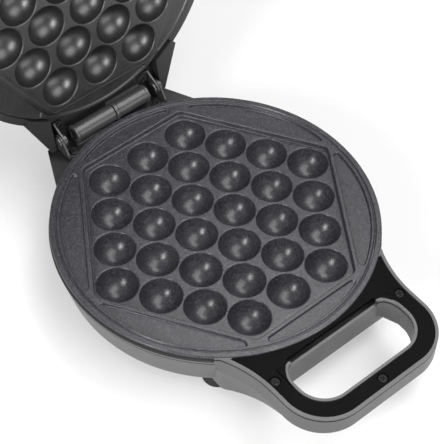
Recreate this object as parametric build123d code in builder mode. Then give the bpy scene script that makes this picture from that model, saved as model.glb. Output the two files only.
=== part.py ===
"""Bubble waffle maker: a round clamshell griddle with two cast mould plates, two D handles
and a rear hinge whose two wire tubes turn about one axis.

Millimetres. +Z is up, -Y points to the handles and +Y to the hinge. The pieces are drawn
about the mould's centre, and those that the lid shares with the base are mirrored about the
parting plane and swung open about the hinge. All are then moved so that the origin lies on
the table, below the middle of the open maker.
"""

from build123d import *
from math import asin, cos, degrees, hypot, radians, sin, sqrt, tan
import os

os.makedirs("parts", exist_ok=True)

# Sizes that place the whole appliance
mould_z = 47.0
mould_y = -17.35
mould_gap = 1.0
hinge_setback = 4.4
hinge_rise = 3.1
open_angle = 103.6
overrun = 5.0
fit = 0.05

# The lattice of half balls and the tray that joins them
bubble_pitch = 28.5
bubble_row_pitch = 20.9
bubble_radius = 12.1
row_counts = (3, 4, 5, 6, 5, 4, 3)
tray_depth = 3.0
tray_end_margin = 3.2
tray_corner_reach = 8.1
tray_tip_margin = 3.95
tray_corner_radius = 5.5

# The cast plates
plate_margin = 3.8
rim_width = 1.7
ridge_width = 2.2
moat_depth = 1.8
upper_moat_depth = 0.8
moat_land = 12.0
moat_corner_radius = 1.4
upper_moat_corner_radius = 0.8
field_rise = 4.0
field_margin = 0.2
field_foot_margin = 3.0
plate_skirt = 6.2
slab_depth = 17.5
slab_margin = 0.2
slab_draft = 25.0
plate_screw_radius = 1.75
plate_screw_bite = 9.0
plate_screw_head_radius = 3.2
plate_screw_head = 1.8

# The moulded shells
shell_lip = 4.1
shell_wall = 2.4
ledge_drop = 4.5
plate_clearance = 0.4
waist_inset = 5.6
waist_drop = 26.0
floor_inset = 20.3
floor_z = 5.0
floor_wall = 2.5
ring_seat_drop = 8.5
ring_seat_width = 2.2

# The rear corners of the shells
horn_root_inset = 17.8
horn_tip_x = 42.6
horn_overhang = 4.4
horn_rise = 2.5
base_rear_overhang = 8.0
base_rear_x = 36.0
block_root_x = 38.0
block_root_y = 60.0
block_draft = 7.0
lid_block_depth = 24.0
channel_half = 39.5
lid_deck_drop = 9.0

# The D handles
handle_front = 144.5
handle_half = 51.5
handle_corner = 27.0
handle_depth = 15.5
handle_edge = 3.0
handle_floor = 2.2
handle_drop = 0.5
flare_start = 108.0
flare_out = 8.5
flare_length = 34.0
shoulder_y = 72.5
neck_front = 112.0
neck_rear = 75.0
neck_depth = 19.0
neck_draft = 10.0
lip_width = 1.8
grip_side = 12.3
grip_rear = 100.6
grip_front = 132.0
grip_front_corner = 16.5
grip_rear_corner = 9.5
grip_wall = 1.6
grip_ledge_inset = 7.2
grip_ledge_width = 3.7
grip_ledge_drop = 3.5

# The inner rings and the handle covers
ring_inner_gap = 0.6
ring_outer_gap = 0.2
cover_drop = 0.7
cover_thickness = 2.4
cover_clearance = 0.2
cover_plate_gap = 0.8
cover_end_gap = 6.0
cover_well_radius = 3.2
cover_well_depth = 1.3
cover_screw_side = 5.5
cover_screw_y = 103.5
cover_screw_front_y = 138.0
cover_screw_radius = 1.4
cover_screw_head_radius = 2.8
cover_screw_head = 1.1
cover_screw_length = 8.5
cover_boss_radius = 3.3

# The heaters
heater_radius = 61.0
heater_tube_radius = 3.0
heater_gap_angle = 36.0
heater_bend_radius = 7.0
heater_tail = 5.0
heater_seat_gap = 0.1
pan_throat_gap = 1.0
pan_floor_inset = 12.0
pan_depth = 27.0
pan_sheet = 0.8
pan_cup_radius = 5.5
pan_tail_clearance = 2.0
thermostat_radius = 8.0
thermostat_height = 5.0
thermostat_stem = 2.5
fuse_radius = 2.5
fuse_length = 26.0
fuse_y = 22.0
terminal_x = 30.0
terminal_y = 38.0
terminal_length = 22.0
terminal_width = 15.0
terminal_height = 6.0

# The hinge
tube_radius = 5.2
tube_bore = 3.6
base_tube_start = 26.5
tube_split = 2.0
tube_end_gap = 0.6
lid_tube_end = 27.9
saddle_half = 3.0
flange_front_reach = 4.0
flange_rear_reach = 3.4
flange_thickness = 1.2
sleeve_clearance = 0.3
sleeve_bore = 2.2
sleeve_inset = 1.5
bracket_sheet = 1.2
bracket_screw_x = 31.5
bracket_screw_reach = 6.8
bracket_rear_reach = 3.2
bracket_foot_radius = 3.4
bracket_eye_radius = 5.0
lid_bracket_outer = 35.7
bracket_gap = 0.3
bracket_screw_radius = 1.6
bracket_screw_head_radius = 2.9
bracket_screw_head = 1.3
bracket_screw_length = 8.0
bracket_column_radius = 3.4
bracket_column_depth = 10.0
base_boss_height = 1.0
lid_boss_height = 0.6
pin_radius = 2.5
pin_head_radius = 4.0
pin_head = 1.2
stop_inset = 0.5
stop_width = 1.6
stop_gap = 0.3
stop_centre = 31.0
stop_length = 4.0

# The feet, the cord bush and the lamps
foot_radius = 9.0
foot_height = 11.5
foot_front_x = 47.0
foot_front_y = 59.2
foot_rear_x = 30.0
foot_rear_inset = 13.0
foot_bevel = 1.0
foot_recess = 2.5
foot_recess_radius = 4.2
foot_clearance = 0.1
foot_screw_radius = 1.75
foot_screw_head_radius = 3.4
foot_screw_head = 1.8
foot_screw_length = 13.0
foot_column_radius = 4.0
foot_column_height = 4.0
bush_x = 18.0
bush_z = 22.0
bush_radius = 5.0
bush_flange_radius = 7.5
bush_flange = 2.5
bush_lip = 1.0
bush_lip_length = 2.0
bush_bore = 3.0
lamp_x = 9.0
lamp_y = 58.0
lens_radius = 4.0
lens_flange_radius = 5.2
lens_flange = 1.2
lens_proud = 1.0
lamp_radius = 2.4
lamp_length = 8.0

# Levels that follow from the sizes above
lid_hinge_z = mould_z + hinge_rise
ledge_z = mould_z - ledge_drop
seat_z = mould_z - ring_seat_drop
waist_z = mould_z - waist_drop
plate_back_z = mould_z - plate_skirt
field_foot_z = mould_z - field_rise
slab_z = mould_z - slab_depth
pan_floor_z = mould_z - pan_depth
base_lip_z = mould_z - handle_drop
lid_lip_z = mould_z + mould_gap - handle_drop
lid_deck_z = mould_z - lid_deck_drop
lid_closed_deck_z = 2 * mould_z + mould_gap - lid_deck_z

# Outlines that follow from the lattice: tray, plate, shell, rear corners and handle
tray_end_y = 3 * bubble_row_pitch + bubble_radius + tray_end_margin
tray_corner_x = bubble_pitch + tray_corner_reach
tray_tip_x = 2.5 * bubble_pitch + bubble_radius + tray_tip_margin
tray_side = hypot(tray_tip_x - tray_corner_x, tray_end_y)
tray_side_normal_x = tray_end_y / tray_side
tray_side_normal_y = (tray_tip_x - tray_corner_x) / tray_side
tray_corner_turn = degrees(asin(tray_end_y / hypot(tray_corner_x, tray_end_y)))
plate_radius = tray_tip_x + plate_margin
bore_radius = plate_radius + plate_clearance
shell_radius = bore_radius + shell_lip
waist_radius = shell_radius - waist_inset
floor_radius = waist_radius - floor_inset
seat_radius = bore_radius - ring_seat_width
slab_tip_x = tray_tip_x + slab_margin / tray_side_normal_x
ring_inner_radius = slab_tip_x + ring_inner_gap
pan_floor_radius = waist_radius - pan_floor_inset
hinge_y = shell_radius + hinge_setback
horn_root_y = shell_radius - horn_root_inset
horn_root_x = sqrt(shell_radius**2 - horn_root_y**2)
horn_tip_y = hinge_y + horn_overhang
base_rear_y = hinge_y + base_rear_overhang
bracket_screw_y = hinge_y - bracket_screw_reach
bracket_rear_y = hinge_y - bracket_rear_reach
foot_rear_y = hinge_y - foot_rear_inset
grip_half = handle_half - grip_side
grip_ledge_half = grip_half - grip_ledge_inset
cover_screw_x = handle_half - cover_screw_side
cover_end_y = shoulder_y + cover_end_gap
plate_screw_x = 1.5 * bubble_pitch
plate_screw_offset = (bubble_row_pitch**2 - (bubble_pitch / 2) ** 2) / (2 * bubble_row_pitch)
plate_screw_y = bubble_row_pitch + plate_screw_offset

plate_screw_places = [
    (sx * plate_screw_x, sy * plate_screw_y) for sx in (-1, 1) for sy in (-1, 1)
]
cover_screw_places = [
    (-cover_screw_x, -cover_screw_y),
    (cover_screw_x, -cover_screw_y),
    (0, -cover_screw_front_y),
]
foot_places = [(sx * foot_front_x, -foot_front_y) for sx in (-1, 1)]
foot_places += [(sx * foot_rear_x, foot_rear_y) for sx in (-1, 1)]
bracket_screw_places = [(sx * bracket_screw_x, bracket_screw_y) for sx in (-1, 1)]
lamp_places = [(sx * lamp_x, -lamp_y) for sx in (-1, 1)]
hinge_line = Axis((0, hinge_y, lid_hinge_z), (1, 0, 0))


def swung(closed):
    """The closed piece turned to the open lid."""
    with BuildPart() as opened:
        add(closed.part.rotate(hinge_line, -open_angle))
    return opened


def over(piece):
    """The base piece mirrored into the lid, and opened with it."""
    with BuildPart() as closed:
        add(piece.part)
        mirror(about=Plane.XY.offset(mould_z + mould_gap / 2), mode=Mode.REPLACE)
    return swung(closed)


def across(piece):
    """The right piece mirrored to the left."""
    with BuildPart() as left:
        add(piece.part)
        mirror(about=Plane.YZ, mode=Mode.REPLACE)
    return left


def bubble_places():
    """The centres of the half balls: seven rows that make a hexagon."""
    places = []
    for row, count in enumerate(row_counts):
        for column in range(count):
            across = (column - (count - 1) / 2) * bubble_pitch
            places.append((across, ((len(row_counts) - 1) / 2 - row) * bubble_row_pitch))
    return places


def hexagon(margin):
    """The tray's hexagon with each side moved outward by the margin, its corners sharp."""
    end_y = tray_end_y + margin
    side = tray_side_normal_x * tray_tip_x + margin
    corner_x = (side - tray_side_normal_y * end_y) / tray_side_normal_x
    tip_x = side / tray_side_normal_x
    points = [
        (tip_x, 0),
        (corner_x, end_y),
        (-corner_x, end_y),
        (-tip_x, 0),
        (-corner_x, -end_y),
        (corner_x, -end_y),
    ]
    with BuildSketch() as region:
        with BuildLine():
            Polyline(points, close=True)
        make_face()
    return region.sketch


def handle_region(inset, rear):
    """The D outline of a handle with concave flares, moved inward, closed at y = -rear."""
    half = handle_half - inset
    front = handle_front - inset
    corner = handle_corner - inset
    flare_radius = (flare_out**2 + flare_length**2) / (2 * flare_out)
    flare_x = handle_half + flare_radius
    reach = flare_radius + inset
    turn = degrees(asin(flare_length / reach))
    with BuildSketch() as region:
        with BuildLine():
            right = CenterArc((flare_x, -flare_start), reach, 180, -turn)
            Line((half, -flare_start), (half, corner - front))
            CenterArc((half - corner, corner - front), corner, 0, -90)
            Line((half - corner, -front), (corner - half, -front))
            CenterArc((corner - half, corner - front), corner, 270, -90)
            Line((-half, corner - front), (-half, -flare_start))
            left = CenterArc((-flare_x, -flare_start), reach, 0, turn)
            Line(left @ 1, ((left @ 1).X, -rear))
            Line(((left @ 1).X, -rear), ((right @ 1).X, -rear))
            Line(((right @ 1).X, -rear), right @ 1)
        make_face()
    return region.sketch


def grip_region(outset):
    """The opening for the fingers, moved outward."""
    with BuildSketch() as region:
        with Locations((0, -(grip_rear + grip_front) / 2)):
            Rectangle(2 * (grip_half + outset), grip_front - grip_rear + 2 * outset)
        corners = region.vertices().group_by(Axis.Y)
        fillet(corners[0], radius=grip_front_corner + outset)
        fillet(corners[-1], radius=grip_rear_corner + outset)
    return region.sketch


def rear_region(rear_y, rear_x, inset):
    """The plan of the rear corners, from inside the bowl to the hinge end, moved inward."""
    with BuildSketch() as region:
        with BuildLine():
            half = [(block_root_x, block_root_y), (horn_root_x, horn_root_y)]
            half += [(horn_tip_x, horn_tip_y)]
            if rear_y > horn_tip_y:
                half += [(rear_x, rear_y)]
            Polyline(half + [(-x, y) for x, y in reversed(half)], close=True)
        make_face()
        if inset:
            offset(amount=-inset, kind=Kind.INTERSECTION, mode=Mode.REPLACE)
    return region.sketch


def shell_outside(lip_z, rear_y, rear_x, block_depth):
    """The outside of a shell: bowl, front shoulders, handle, neck and rear corners."""
    with BuildPart() as handle:
        with BuildSketch(Plane.XY.offset(lip_z - handle_depth)):
            add(handle_region(0, shoulder_y))
        extrude(amount=handle_depth)
        underside = handle.edges().group_by(Axis.Z)[0]
        fillet([edge for edge in underside if edge.center().Y < -neck_rear], radius=handle_edge)
    with BuildPart() as neck:
        with BuildSketch(Plane.XY.offset(lip_z - handle_depth + handle_edge)):
            add(handle_region(0, block_root_y))
        extrude(amount=-neck_depth - handle_edge, taper=neck_draft)
        with BuildSketch(Plane.YZ):
            with BuildLine():
                top_z = lip_z - handle_depth + handle_edge
                low_z = lip_z - handle_depth - neck_depth
                front_y = -neck_front - handle_edge * (neck_front - neck_rear) / neck_depth
                points = [(front_y, top_z), (-neck_rear, low_z), (-block_root_y, low_z)]
                Polyline(points + [(-block_root_y, top_z)], close=True)
            make_face()
        extrude(amount=handle_front, both=True, mode=Mode.INTERSECT)
    with BuildPart() as outside:
        with BuildSketch(Plane.XZ):
            with BuildLine():
                side = Line((waist_radius, waist_z), (shell_radius, ledge_z))
                floor = Line((floor_radius, floor_z), (0, floor_z))
                TangentArc(side @ 0, floor @ 0, tangent=(side % 0) * -1)
                Line(floor @ 1, (0, ledge_z))
                Line((0, ledge_z), side @ 1)
            make_face()
        revolve(axis=Axis.Z)
        with BuildSketch(Plane.XY.offset(ledge_z)):
            Circle(shell_radius)
            with Locations((0, -shoulder_y)):
                Rectangle(
                    2 * shell_radius,
                    2 * shell_radius,
                    align=(Align.CENTER, Align.MAX),
                    mode=Mode.INTERSECT,
                )
        extrude(amount=lip_z - ledge_z)
        with BuildSketch(Plane.XY.offset(ledge_z)):
            add(rear_region(rear_y, rear_x, 0))
        extrude(amount=-block_depth, taper=block_draft)
        add(handle.part)
        add(neck.part)
    return outside.part


def shell_hollow(lip_z, rear_y, rear_x, block_depth, deck_z):
    """The space inside a shell: bowl, rear corners and handle, less the handle's bosses."""
    cover_z = lip_z - cover_drop - cover_thickness
    with BuildPart() as hollow:
        with BuildSketch(Plane.XZ):
            with BuildLine():
                side = Line((waist_radius - shell_wall, waist_z), (seat_radius, seat_z))
                low_z = floor_z + floor_wall
                floor = Line((floor_radius - floor_wall, low_z), (0, low_z))
                TangentArc(side @ 0, floor @ 0, tangent=(side % 0) * -1)
                top_z = lip_z + overrun
                Polyline(
                    side @ 1,
                    (bore_radius, seat_z),
                    (bore_radius, top_z),
                    (0, top_z),
                    floor @ 1,
                )
            make_face()
        revolve(axis=Axis.Z)
        inner_drop = ledge_z - deck_z + shell_wall
        with BuildSketch(Plane.XY.offset(ledge_z - inner_drop)):
            add(rear_region(rear_y, rear_x, shell_wall + inner_drop * tan(radians(block_draft))))
        extrude(amount=inner_drop + floor_wall - block_depth, taper=block_draft)
        with BuildSketch(Plane.XY.offset(lip_z - handle_depth + handle_floor)):
            add(handle_region(lip_width, block_root_y))
            add(grip_region(grip_wall), mode=Mode.SUBTRACT)
            Circle(shell_radius, mode=Mode.SUBTRACT)
            with Locations(*cover_screw_places):
                Circle(cover_boss_radius, mode=Mode.SUBTRACT)
        extrude(amount=cover_z - lip_z + handle_depth - handle_floor)
        with BuildSketch(Plane.XY.offset(cover_z)):
            add(handle_region(lip_width, shoulder_y))
            add(grip_region(grip_wall), mode=Mode.SUBTRACT)
            with Locations((0, cover_clearance - cover_end_y)):
                Rectangle(
                    2 * handle_front,
                    handle_front,
                    align=(Align.CENTER, Align.MIN),
                    mode=Mode.SUBTRACT,
                )
        extrude(amount=lip_z - cover_z + overrun)
    return hollow.part


def handle_cuts(lip_z):
    """What is cut from a handle after it is hollowed: finger opening, low step, screw pilots."""
    with BuildPart() as cuts:
        with BuildSketch(Plane.XY.offset(lip_z - handle_depth - neck_depth)):
            add(grip_region(0))
        extrude(amount=handle_depth + neck_depth + overrun)
        with BuildSketch(Plane.XY.offset(lip_z - grip_ledge_drop)):
            with Locations((0, -grip_rear)):
                Rectangle(
                    2 * grip_ledge_half,
                    grip_ledge_width,
                    align=(Align.CENTER, Align.MIN),
                )
        extrude(amount=grip_ledge_drop + overrun)
        pilot_z = lip_z - cover_drop - cover_well_depth - cover_screw_length
        with BuildSketch(Plane.XY.offset(pilot_z)):
            with Locations(*cover_screw_places):
                Circle(cover_screw_radius + fit)
        extrude(amount=cover_screw_length)
    return cuts.part


def plate_body(rim_z):
    """A cast plate's round skirt up to its rim, and behind it the tapered slab."""
    with BuildPart() as body:
        with BuildSketch(Plane.XY.offset(plate_back_z)):
            Circle(plate_radius)
        extrude(amount=rim_z - plate_back_z)
        with BuildSketch(Plane.XY.offset(plate_back_z)):
            add(hexagon(slab_margin))
        extrude(amount=slab_z - plate_back_z, taper=slab_draft)
    return body.part


def moats(margin, corner_radius):
    """The six shallow moats between a hexagon and a plate's rim, parted by lands."""
    with BuildSketch() as region:
        Circle(plate_radius - rim_width)
        add(hexagon(margin), mode=Mode.SUBTRACT)
        for turn in (0, tray_corner_turn, -tray_corner_turn):
            with Locations(Rotation(0, 0, turn)):
                Rectangle(2 * plate_radius, moat_land, mode=Mode.SUBTRACT)
        fillet(region.vertices(), radius=corner_radius)
    return region.sketch


def plate_cuts(centre_z):
    """What is cut from a cast plate: the half balls about the level, and the screw pilots."""
    with BuildPart() as cuts:
        with Locations(*[(x, y, centre_z) for x, y in bubble_places()]):
            Sphere(bubble_radius)
        with BuildSketch(Plane.XY.offset(slab_z)):
            with Locations(*plate_screw_places):
                Circle(plate_screw_radius + fit)
        extrude(amount=plate_screw_bite + fit)
    return cuts.part


def pan_head_screws(places, seat_z, head_radius, head, radius, length, up):
    """Screws with a low head on the seat and a shank of the length behind it."""
    sign = 1 if up else -1
    with BuildPart() as screws:
        with BuildSketch(Plane.XY.offset(seat_z)):
            with Locations(*places):
                Circle(head_radius)
        extrude(amount=sign * head)
        with BuildSketch(Plane.XY.offset(seat_z)):
            with Locations(*places):
                Circle(radius)
        extrude(amount=-sign * length)
    return screws


def heating_element():
    """An open ring of sheathed tube whose two cold ends bend down at the rear."""
    centre_z = slab_z - heater_seat_gap - heater_tube_radius
    start = 90 + heater_gap_angle / 2
    with BuildPart() as heater:
        with BuildLine() as path:
            ring = CenterArc((0, 0, centre_z), heater_radius, start, 360 - heater_gap_angle)
            down = Vector(0, 0, -heater_bend_radius)
            for place, along in ((ring @ 0, (ring % 0) * -1), (ring @ 1, ring % 1)):
                forward = along * heater_bend_radius
                middle = place + forward * sqrt(0.5) + down * (1 - sqrt(0.5))
                ThreePointArc(place, middle, place + forward + down)
                tail = Vector(0, 0, -heater_tail)
                Line(place + forward + down, place + forward + down + tail)
        with BuildSketch(Plane(origin=path.wires()[0] @ 0, z_dir=path.wires()[0] % 0)):
            Circle(heater_tube_radius)
        sweep()
    return heater


def reflector_pan():
    """A sheet pan under the heater: flange below the inner ring, cone, floor and four cups."""
    flange_top = seat_z
    flange_radius = seat_radius - plate_clearance
    throat = ring_inner_radius - pan_throat_gap
    with BuildPart() as pan:
        with BuildSketch(Plane.XZ):
            with BuildLine():
                Polyline(
                    (0, pan_floor_z),
                    (pan_floor_radius, pan_floor_z),
                    (throat, flange_top),
                    (flange_radius, flange_top),
                    (flange_radius, flange_top - pan_sheet),
                    (throat + pan_sheet, flange_top - pan_sheet),
                    (pan_floor_radius + pan_sheet, pan_floor_z - pan_sheet),
                    (0, pan_floor_z - pan_sheet),
                    close=True,
                )
            make_face()
        revolve(axis=Axis.Z)
        cup = slab_z - pan_floor_z
        with BuildSketch(Plane.XY.offset(pan_floor_z - pan_sheet)):
            with Locations(*plate_screw_places):
                Circle(pan_cup_radius)
        extrude(amount=cup + pan_sheet)
        with BuildSketch(Plane.XY.offset(pan_floor_z - pan_sheet)):
            with Locations(*plate_screw_places):
                Circle(pan_cup_radius - pan_sheet)
        extrude(amount=cup, mode=Mode.SUBTRACT)
        tail_turn = heater_gap_angle / 2 - degrees(asin(heater_bend_radius / heater_radius))
        with BuildSketch(Plane.XY.offset(pan_floor_z - pan_sheet)):
            with Locations(*plate_screw_places):
                Circle(plate_screw_radius + fit)
            with PolarLocations(heater_radius, 2, 90 - tail_turn, 4 * tail_turn):
                Circle(heater_tube_radius + pan_tail_clearance)
        extrude(amount=cup + pan_sheet, mode=Mode.SUBTRACT)
    return pan


def inner_ring():
    """The ring that carries a plate's skirt on the shell's seat."""
    with BuildPart() as ring:
        with BuildSketch(Plane.XY.offset(seat_z)):
            Circle(bore_radius - ring_outer_gap)
            Circle(ring_inner_radius, mode=Mode.SUBTRACT)
        extrude(amount=plate_back_z - seat_z)
    return ring


def handle_cover(lip_z):
    """The flat cover of a handle, from the plate's arc to the front, with three screw wells."""
    top_z = lip_z - cover_drop
    with BuildPart() as cover:
        with BuildSketch(Plane.XY.offset(top_z - cover_thickness)):
            add(handle_region(lip_width + cover_clearance, block_root_y))
            add(grip_region(grip_wall + cover_clearance), mode=Mode.SUBTRACT)
            Circle(plate_radius + cover_plate_gap, mode=Mode.SUBTRACT)
            with Locations((0, -grip_rear)):
                Rectangle(
                    2 * (grip_ledge_half + cover_clearance),
                    grip_ledge_width + cover_clearance,
                    align=(Align.CENTER, Align.MIN),
                    mode=Mode.SUBTRACT,
                )
            with Locations((0, -cover_end_y)):
                Rectangle(
                    2 * handle_front,
                    handle_front,
                    align=(Align.CENTER, Align.MIN),
                    mode=Mode.SUBTRACT,
                )
        extrude(amount=cover_thickness)
        with BuildSketch(Plane.XY.offset(top_z - cover_well_depth)):
            with Locations(*cover_screw_places):
                Circle(cover_well_radius)
        extrude(amount=cover_well_depth, mode=Mode.SUBTRACT)
        with BuildSketch(Plane.XY.offset(top_z - cover_thickness)):
            with Locations(*cover_screw_places):
                Circle(cover_screw_radius + fit)
        extrude(amount=cover_thickness, mode=Mode.SUBTRACT)
    return cover


def cover_screws(lip_z):
    """The three screws in the wells of a handle cover."""
    return pan_head_screws(
        cover_screw_places,
        lip_z - cover_drop - cover_well_depth,
        cover_screw_head_radius,
        cover_screw_head,
        cover_screw_radius,
        cover_screw_length,
        up=True,
    )


def plate_screws():
    """The four screws that hold the pan's cups against a plate's slab."""
    return pan_head_screws(
        plate_screw_places,
        slab_z - pan_sheet,
        plate_screw_head_radius,
        plate_screw_head,
        plate_screw_radius,
        plate_screw_bite,
        up=False,
    )


def hinge_bracket(foot_z, outer_x, eye_radius, front_y):
    """A bent sheet bracket on the right: a foot with a round end and an ear with a pin hole."""
    with BuildPart() as bracket:
        with BuildSketch(Plane.XY.offset(foot_z)):
            with Locations((bracket_screw_x, bracket_screw_y)):
                Circle(bracket_foot_radius)
            middle_x = (bracket_screw_x + outer_x) / 2
            middle_y = (front_y + bracket_rear_y) / 2
            with Locations((middle_x, middle_y)):
                Rectangle(outer_x - bracket_screw_x, bracket_rear_y - front_y)
            with Locations((bracket_screw_x, bracket_screw_y)):
                Circle(bracket_screw_radius + fit, mode=Mode.SUBTRACT)
        extrude(amount=bracket_sheet)
        with BuildSketch(Plane.YZ.offset(outer_x)):
            with Locations((hinge_y, lid_hinge_z)):
                Circle(eye_radius)
            with Locations(((front_y + bracket_rear_y) / 2, foot_z + bracket_sheet / 2)):
                Rectangle(bracket_rear_y - front_y, bracket_sheet)
            make_hull()
        extrude(amount=-bracket_sheet)
        with BuildSketch(Plane.YZ.offset(outer_x)):
            with Locations((hinge_y, lid_hinge_z)):
                Circle(pin_radius + fit)
        extrude(amount=-bracket_sheet, mode=Mode.SUBTRACT)
    return bracket


def wire_tube(left_x, right_x, deck_z, flange_side):
    """A tube round the hinge line with a saddle and a flange on its deck."""
    length = right_x - left_x
    with BuildPart() as tube:
        with BuildSketch(Plane.YZ.offset(left_x)):
            with Locations((hinge_y, lid_hinge_z)):
                Circle(tube_radius)
            with Locations((hinge_y, (deck_z + lid_hinge_z) / 2)):
                Rectangle(2 * saddle_half, abs(lid_hinge_z - deck_z))
            flange_y = hinge_y + (flange_rear_reach - flange_front_reach) / 2
            with Locations((flange_y, deck_z + flange_side * flange_thickness / 2)):
                Rectangle(flange_front_reach + flange_rear_reach, flange_thickness)
            with Locations((hinge_y, lid_hinge_z)):
                Circle(tube_bore, mode=Mode.SUBTRACT)
        extrude(amount=length)
    return tube


# Base: the housing with its feet pockets, hinge deck and handle
base_outside = shell_outside(base_lip_z, base_rear_y, base_rear_x, ledge_z - floor_z)
base_hollow = shell_hollow(base_lip_z, base_rear_y, base_rear_x, ledge_z - floor_z, ledge_z)
base_cuts = handle_cuts(base_lip_z)
foot_cap_z = foot_height + floor_wall

# The open lid's rear wall comes down above the stops: its inner edge, then its fall to them
opening = radians(open_angle)
wall_y = horn_tip_y - (ledge_z - lid_deck_z) * tan(radians(block_draft)) - hinge_y
wall_z = lid_closed_deck_z - lid_hinge_z
open_wall_y = hinge_y + wall_y * cos(opening) + wall_z * sin(opening)
open_wall_z = lid_hinge_z + wall_z * cos(opening) - wall_y * sin(opening)
wall_fall = tan(opening - radians(90 + block_draft))
stop_z = open_wall_z - (base_rear_y - stop_inset - open_wall_y) * wall_fall - stop_gap

with BuildPart() as base_inside:
    add(base_hollow)
    with Locations(*[(x, y, floor_z) for x, y in foot_places]):
        Cylinder(
            foot_radius + foot_clearance + floor_wall,
            foot_cap_z - floor_z,
            align=(Align.CENTER, Align.CENTER, Align.MIN),
            mode=Mode.SUBTRACT,
        )
    with Locations(*[(x, y, foot_cap_z) for x, y in foot_places]):
        Cylinder(
            foot_column_radius,
            foot_column_height,
            align=(Align.CENTER, Align.CENTER, Align.MIN),
            mode=Mode.SUBTRACT,
        )
    with Locations(*[(x, y, ledge_z) for x, y in bracket_screw_places]):
        Cylinder(
            bracket_column_radius,
            bracket_column_depth,
            align=(Align.CENTER, Align.CENTER, Align.MAX),
            mode=Mode.SUBTRACT,
        )

with BuildPart() as base_housing:
    add(base_outside)
    add(base_inside.part, mode=Mode.SUBTRACT)
    add(base_cuts, mode=Mode.SUBTRACT)
    # The deck's bosses under the brackets and the ribs that stop the open lid
    with BuildSketch(Plane.XY.offset(ledge_z)):
        with Locations(*bracket_screw_places):
            Circle(bracket_foot_radius)
    extrude(amount=base_boss_height)
    with BuildSketch(Plane.XY.offset(ledge_z)):
        with Locations(*[(sx * stop_centre, base_rear_y - stop_inset) for sx in (-1, 1)]):
            Rectangle(stop_length, stop_width, align=(Align.CENTER, Align.MAX))
    extrude(amount=stop_z - ledge_z)
    base_bracket_foot_z = ledge_z + base_boss_height
    base_screw_seat_z = base_bracket_foot_z + bracket_sheet
    with BuildSketch(Plane.XY.offset(base_screw_seat_z - bracket_screw_length)):
        with Locations(*bracket_screw_places):
            Circle(bracket_screw_radius + fit)
    extrude(amount=bracket_screw_length, mode=Mode.SUBTRACT)
    # Foot pockets and their pilot holes
    with BuildSketch(Plane.XY):
        with Locations(*foot_places):
            Circle(foot_radius + foot_clearance)
    extrude(amount=foot_height, mode=Mode.SUBTRACT)
    with BuildSketch(Plane.XY):
        with Locations(*foot_places):
            Circle(foot_screw_radius + fit)
    extrude(amount=foot_recess + foot_screw_head + foot_screw_length + fit, mode=Mode.SUBTRACT)
    # The hole for the cord bush
    with BuildSketch(Plane.XZ.offset(-base_rear_y)):
        with Locations((bush_x, bush_z)):
            Circle(bush_radius + foot_clearance)
    extrude(amount=bush_radius + bush_lip_length, mode=Mode.SUBTRACT)

base_ring = inner_ring()

base_handle_cover = handle_cover(base_lip_z)

base_cover_screws = cover_screws(base_lip_z)

# Base: the cast plate with a ridge round its tray
with BuildPart() as lower_plate:
    add(plate_body(mould_z))
    with BuildSketch(Plane.XY.offset(mould_z - moat_depth)):
        add(moats(ridge_width, moat_corner_radius))
    extrude(amount=moat_depth, mode=Mode.SUBTRACT)
    with BuildSketch(Plane.XY.offset(mould_z - tray_depth)) as tray:
        add(hexagon(0))
        fillet(tray.vertices(), radius=tray_corner_radius)
    extrude(amount=tray_depth, mode=Mode.SUBTRACT)
    add(plate_cuts(mould_z - tray_depth), mode=Mode.SUBTRACT)

lower_plate_screws = plate_screws()

lower_heating_element = heating_element()

lower_reflector = reflector_pan()

# Base: the thermostat on a stem, the fuse and the terminal block
with BuildPart() as thermostat:
    with BuildSketch(Plane.XY.offset(slab_z)):
        Circle(thermostat_radius)
    extrude(amount=-thermostat_height)
    with BuildSketch(Plane.XY.offset(pan_floor_z)):
        Circle(thermostat_stem)
    extrude(amount=slab_z - pan_floor_z - thermostat_height)

with BuildPart() as thermal_fuse:
    with BuildSketch(Plane.YZ.offset(-fuse_length / 2)):
        with Locations((fuse_y, pan_floor_z + fuse_radius + fit)):
            Circle(fuse_radius)
    extrude(amount=fuse_length)
    chamfer(thermal_fuse.edges(), length=fuse_radius / 3)

with BuildPart() as terminal_block:
    with Locations((terminal_x, terminal_y, floor_z + floor_wall)):
        Box(
            terminal_length,
            terminal_width,
            terminal_height,
            align=(Align.CENTER, Align.CENTER, Align.MIN),
        )
    with BuildSketch(Plane.XZ.offset(-terminal_y - terminal_width / 2)):
        with Locations((terminal_x, floor_z + floor_wall + terminal_height / 2)):
            with GridLocations(terminal_length / 3, 0, 3, 1):
                Circle(terminal_height / 4)
    extrude(amount=terminal_width, mode=Mode.SUBTRACT)

# Base: the rubber feet and their screws
with BuildPart() as feet:
    with BuildSketch(Plane.XY):
        with Locations(*foot_places):
            Circle(foot_radius)
    extrude(amount=foot_height)
    chamfer(feet.edges().filter_by(GeomType.CIRCLE).group_by(Axis.Z)[0], length=foot_bevel)
    with BuildSketch(Plane.XY):
        with Locations(*foot_places):
            Circle(foot_recess_radius)
    extrude(amount=foot_recess + foot_screw_head, mode=Mode.SUBTRACT)
    with BuildSketch(Plane.XY):
        with Locations(*foot_places):
            Circle(foot_screw_radius + fit)
    extrude(amount=foot_height, mode=Mode.SUBTRACT)

foot_screws = pan_head_screws(
    foot_places,
    foot_recess + foot_screw_head,
    foot_screw_head_radius,
    foot_screw_head,
    foot_screw_radius,
    foot_screw_length,
    up=False,
)

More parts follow.
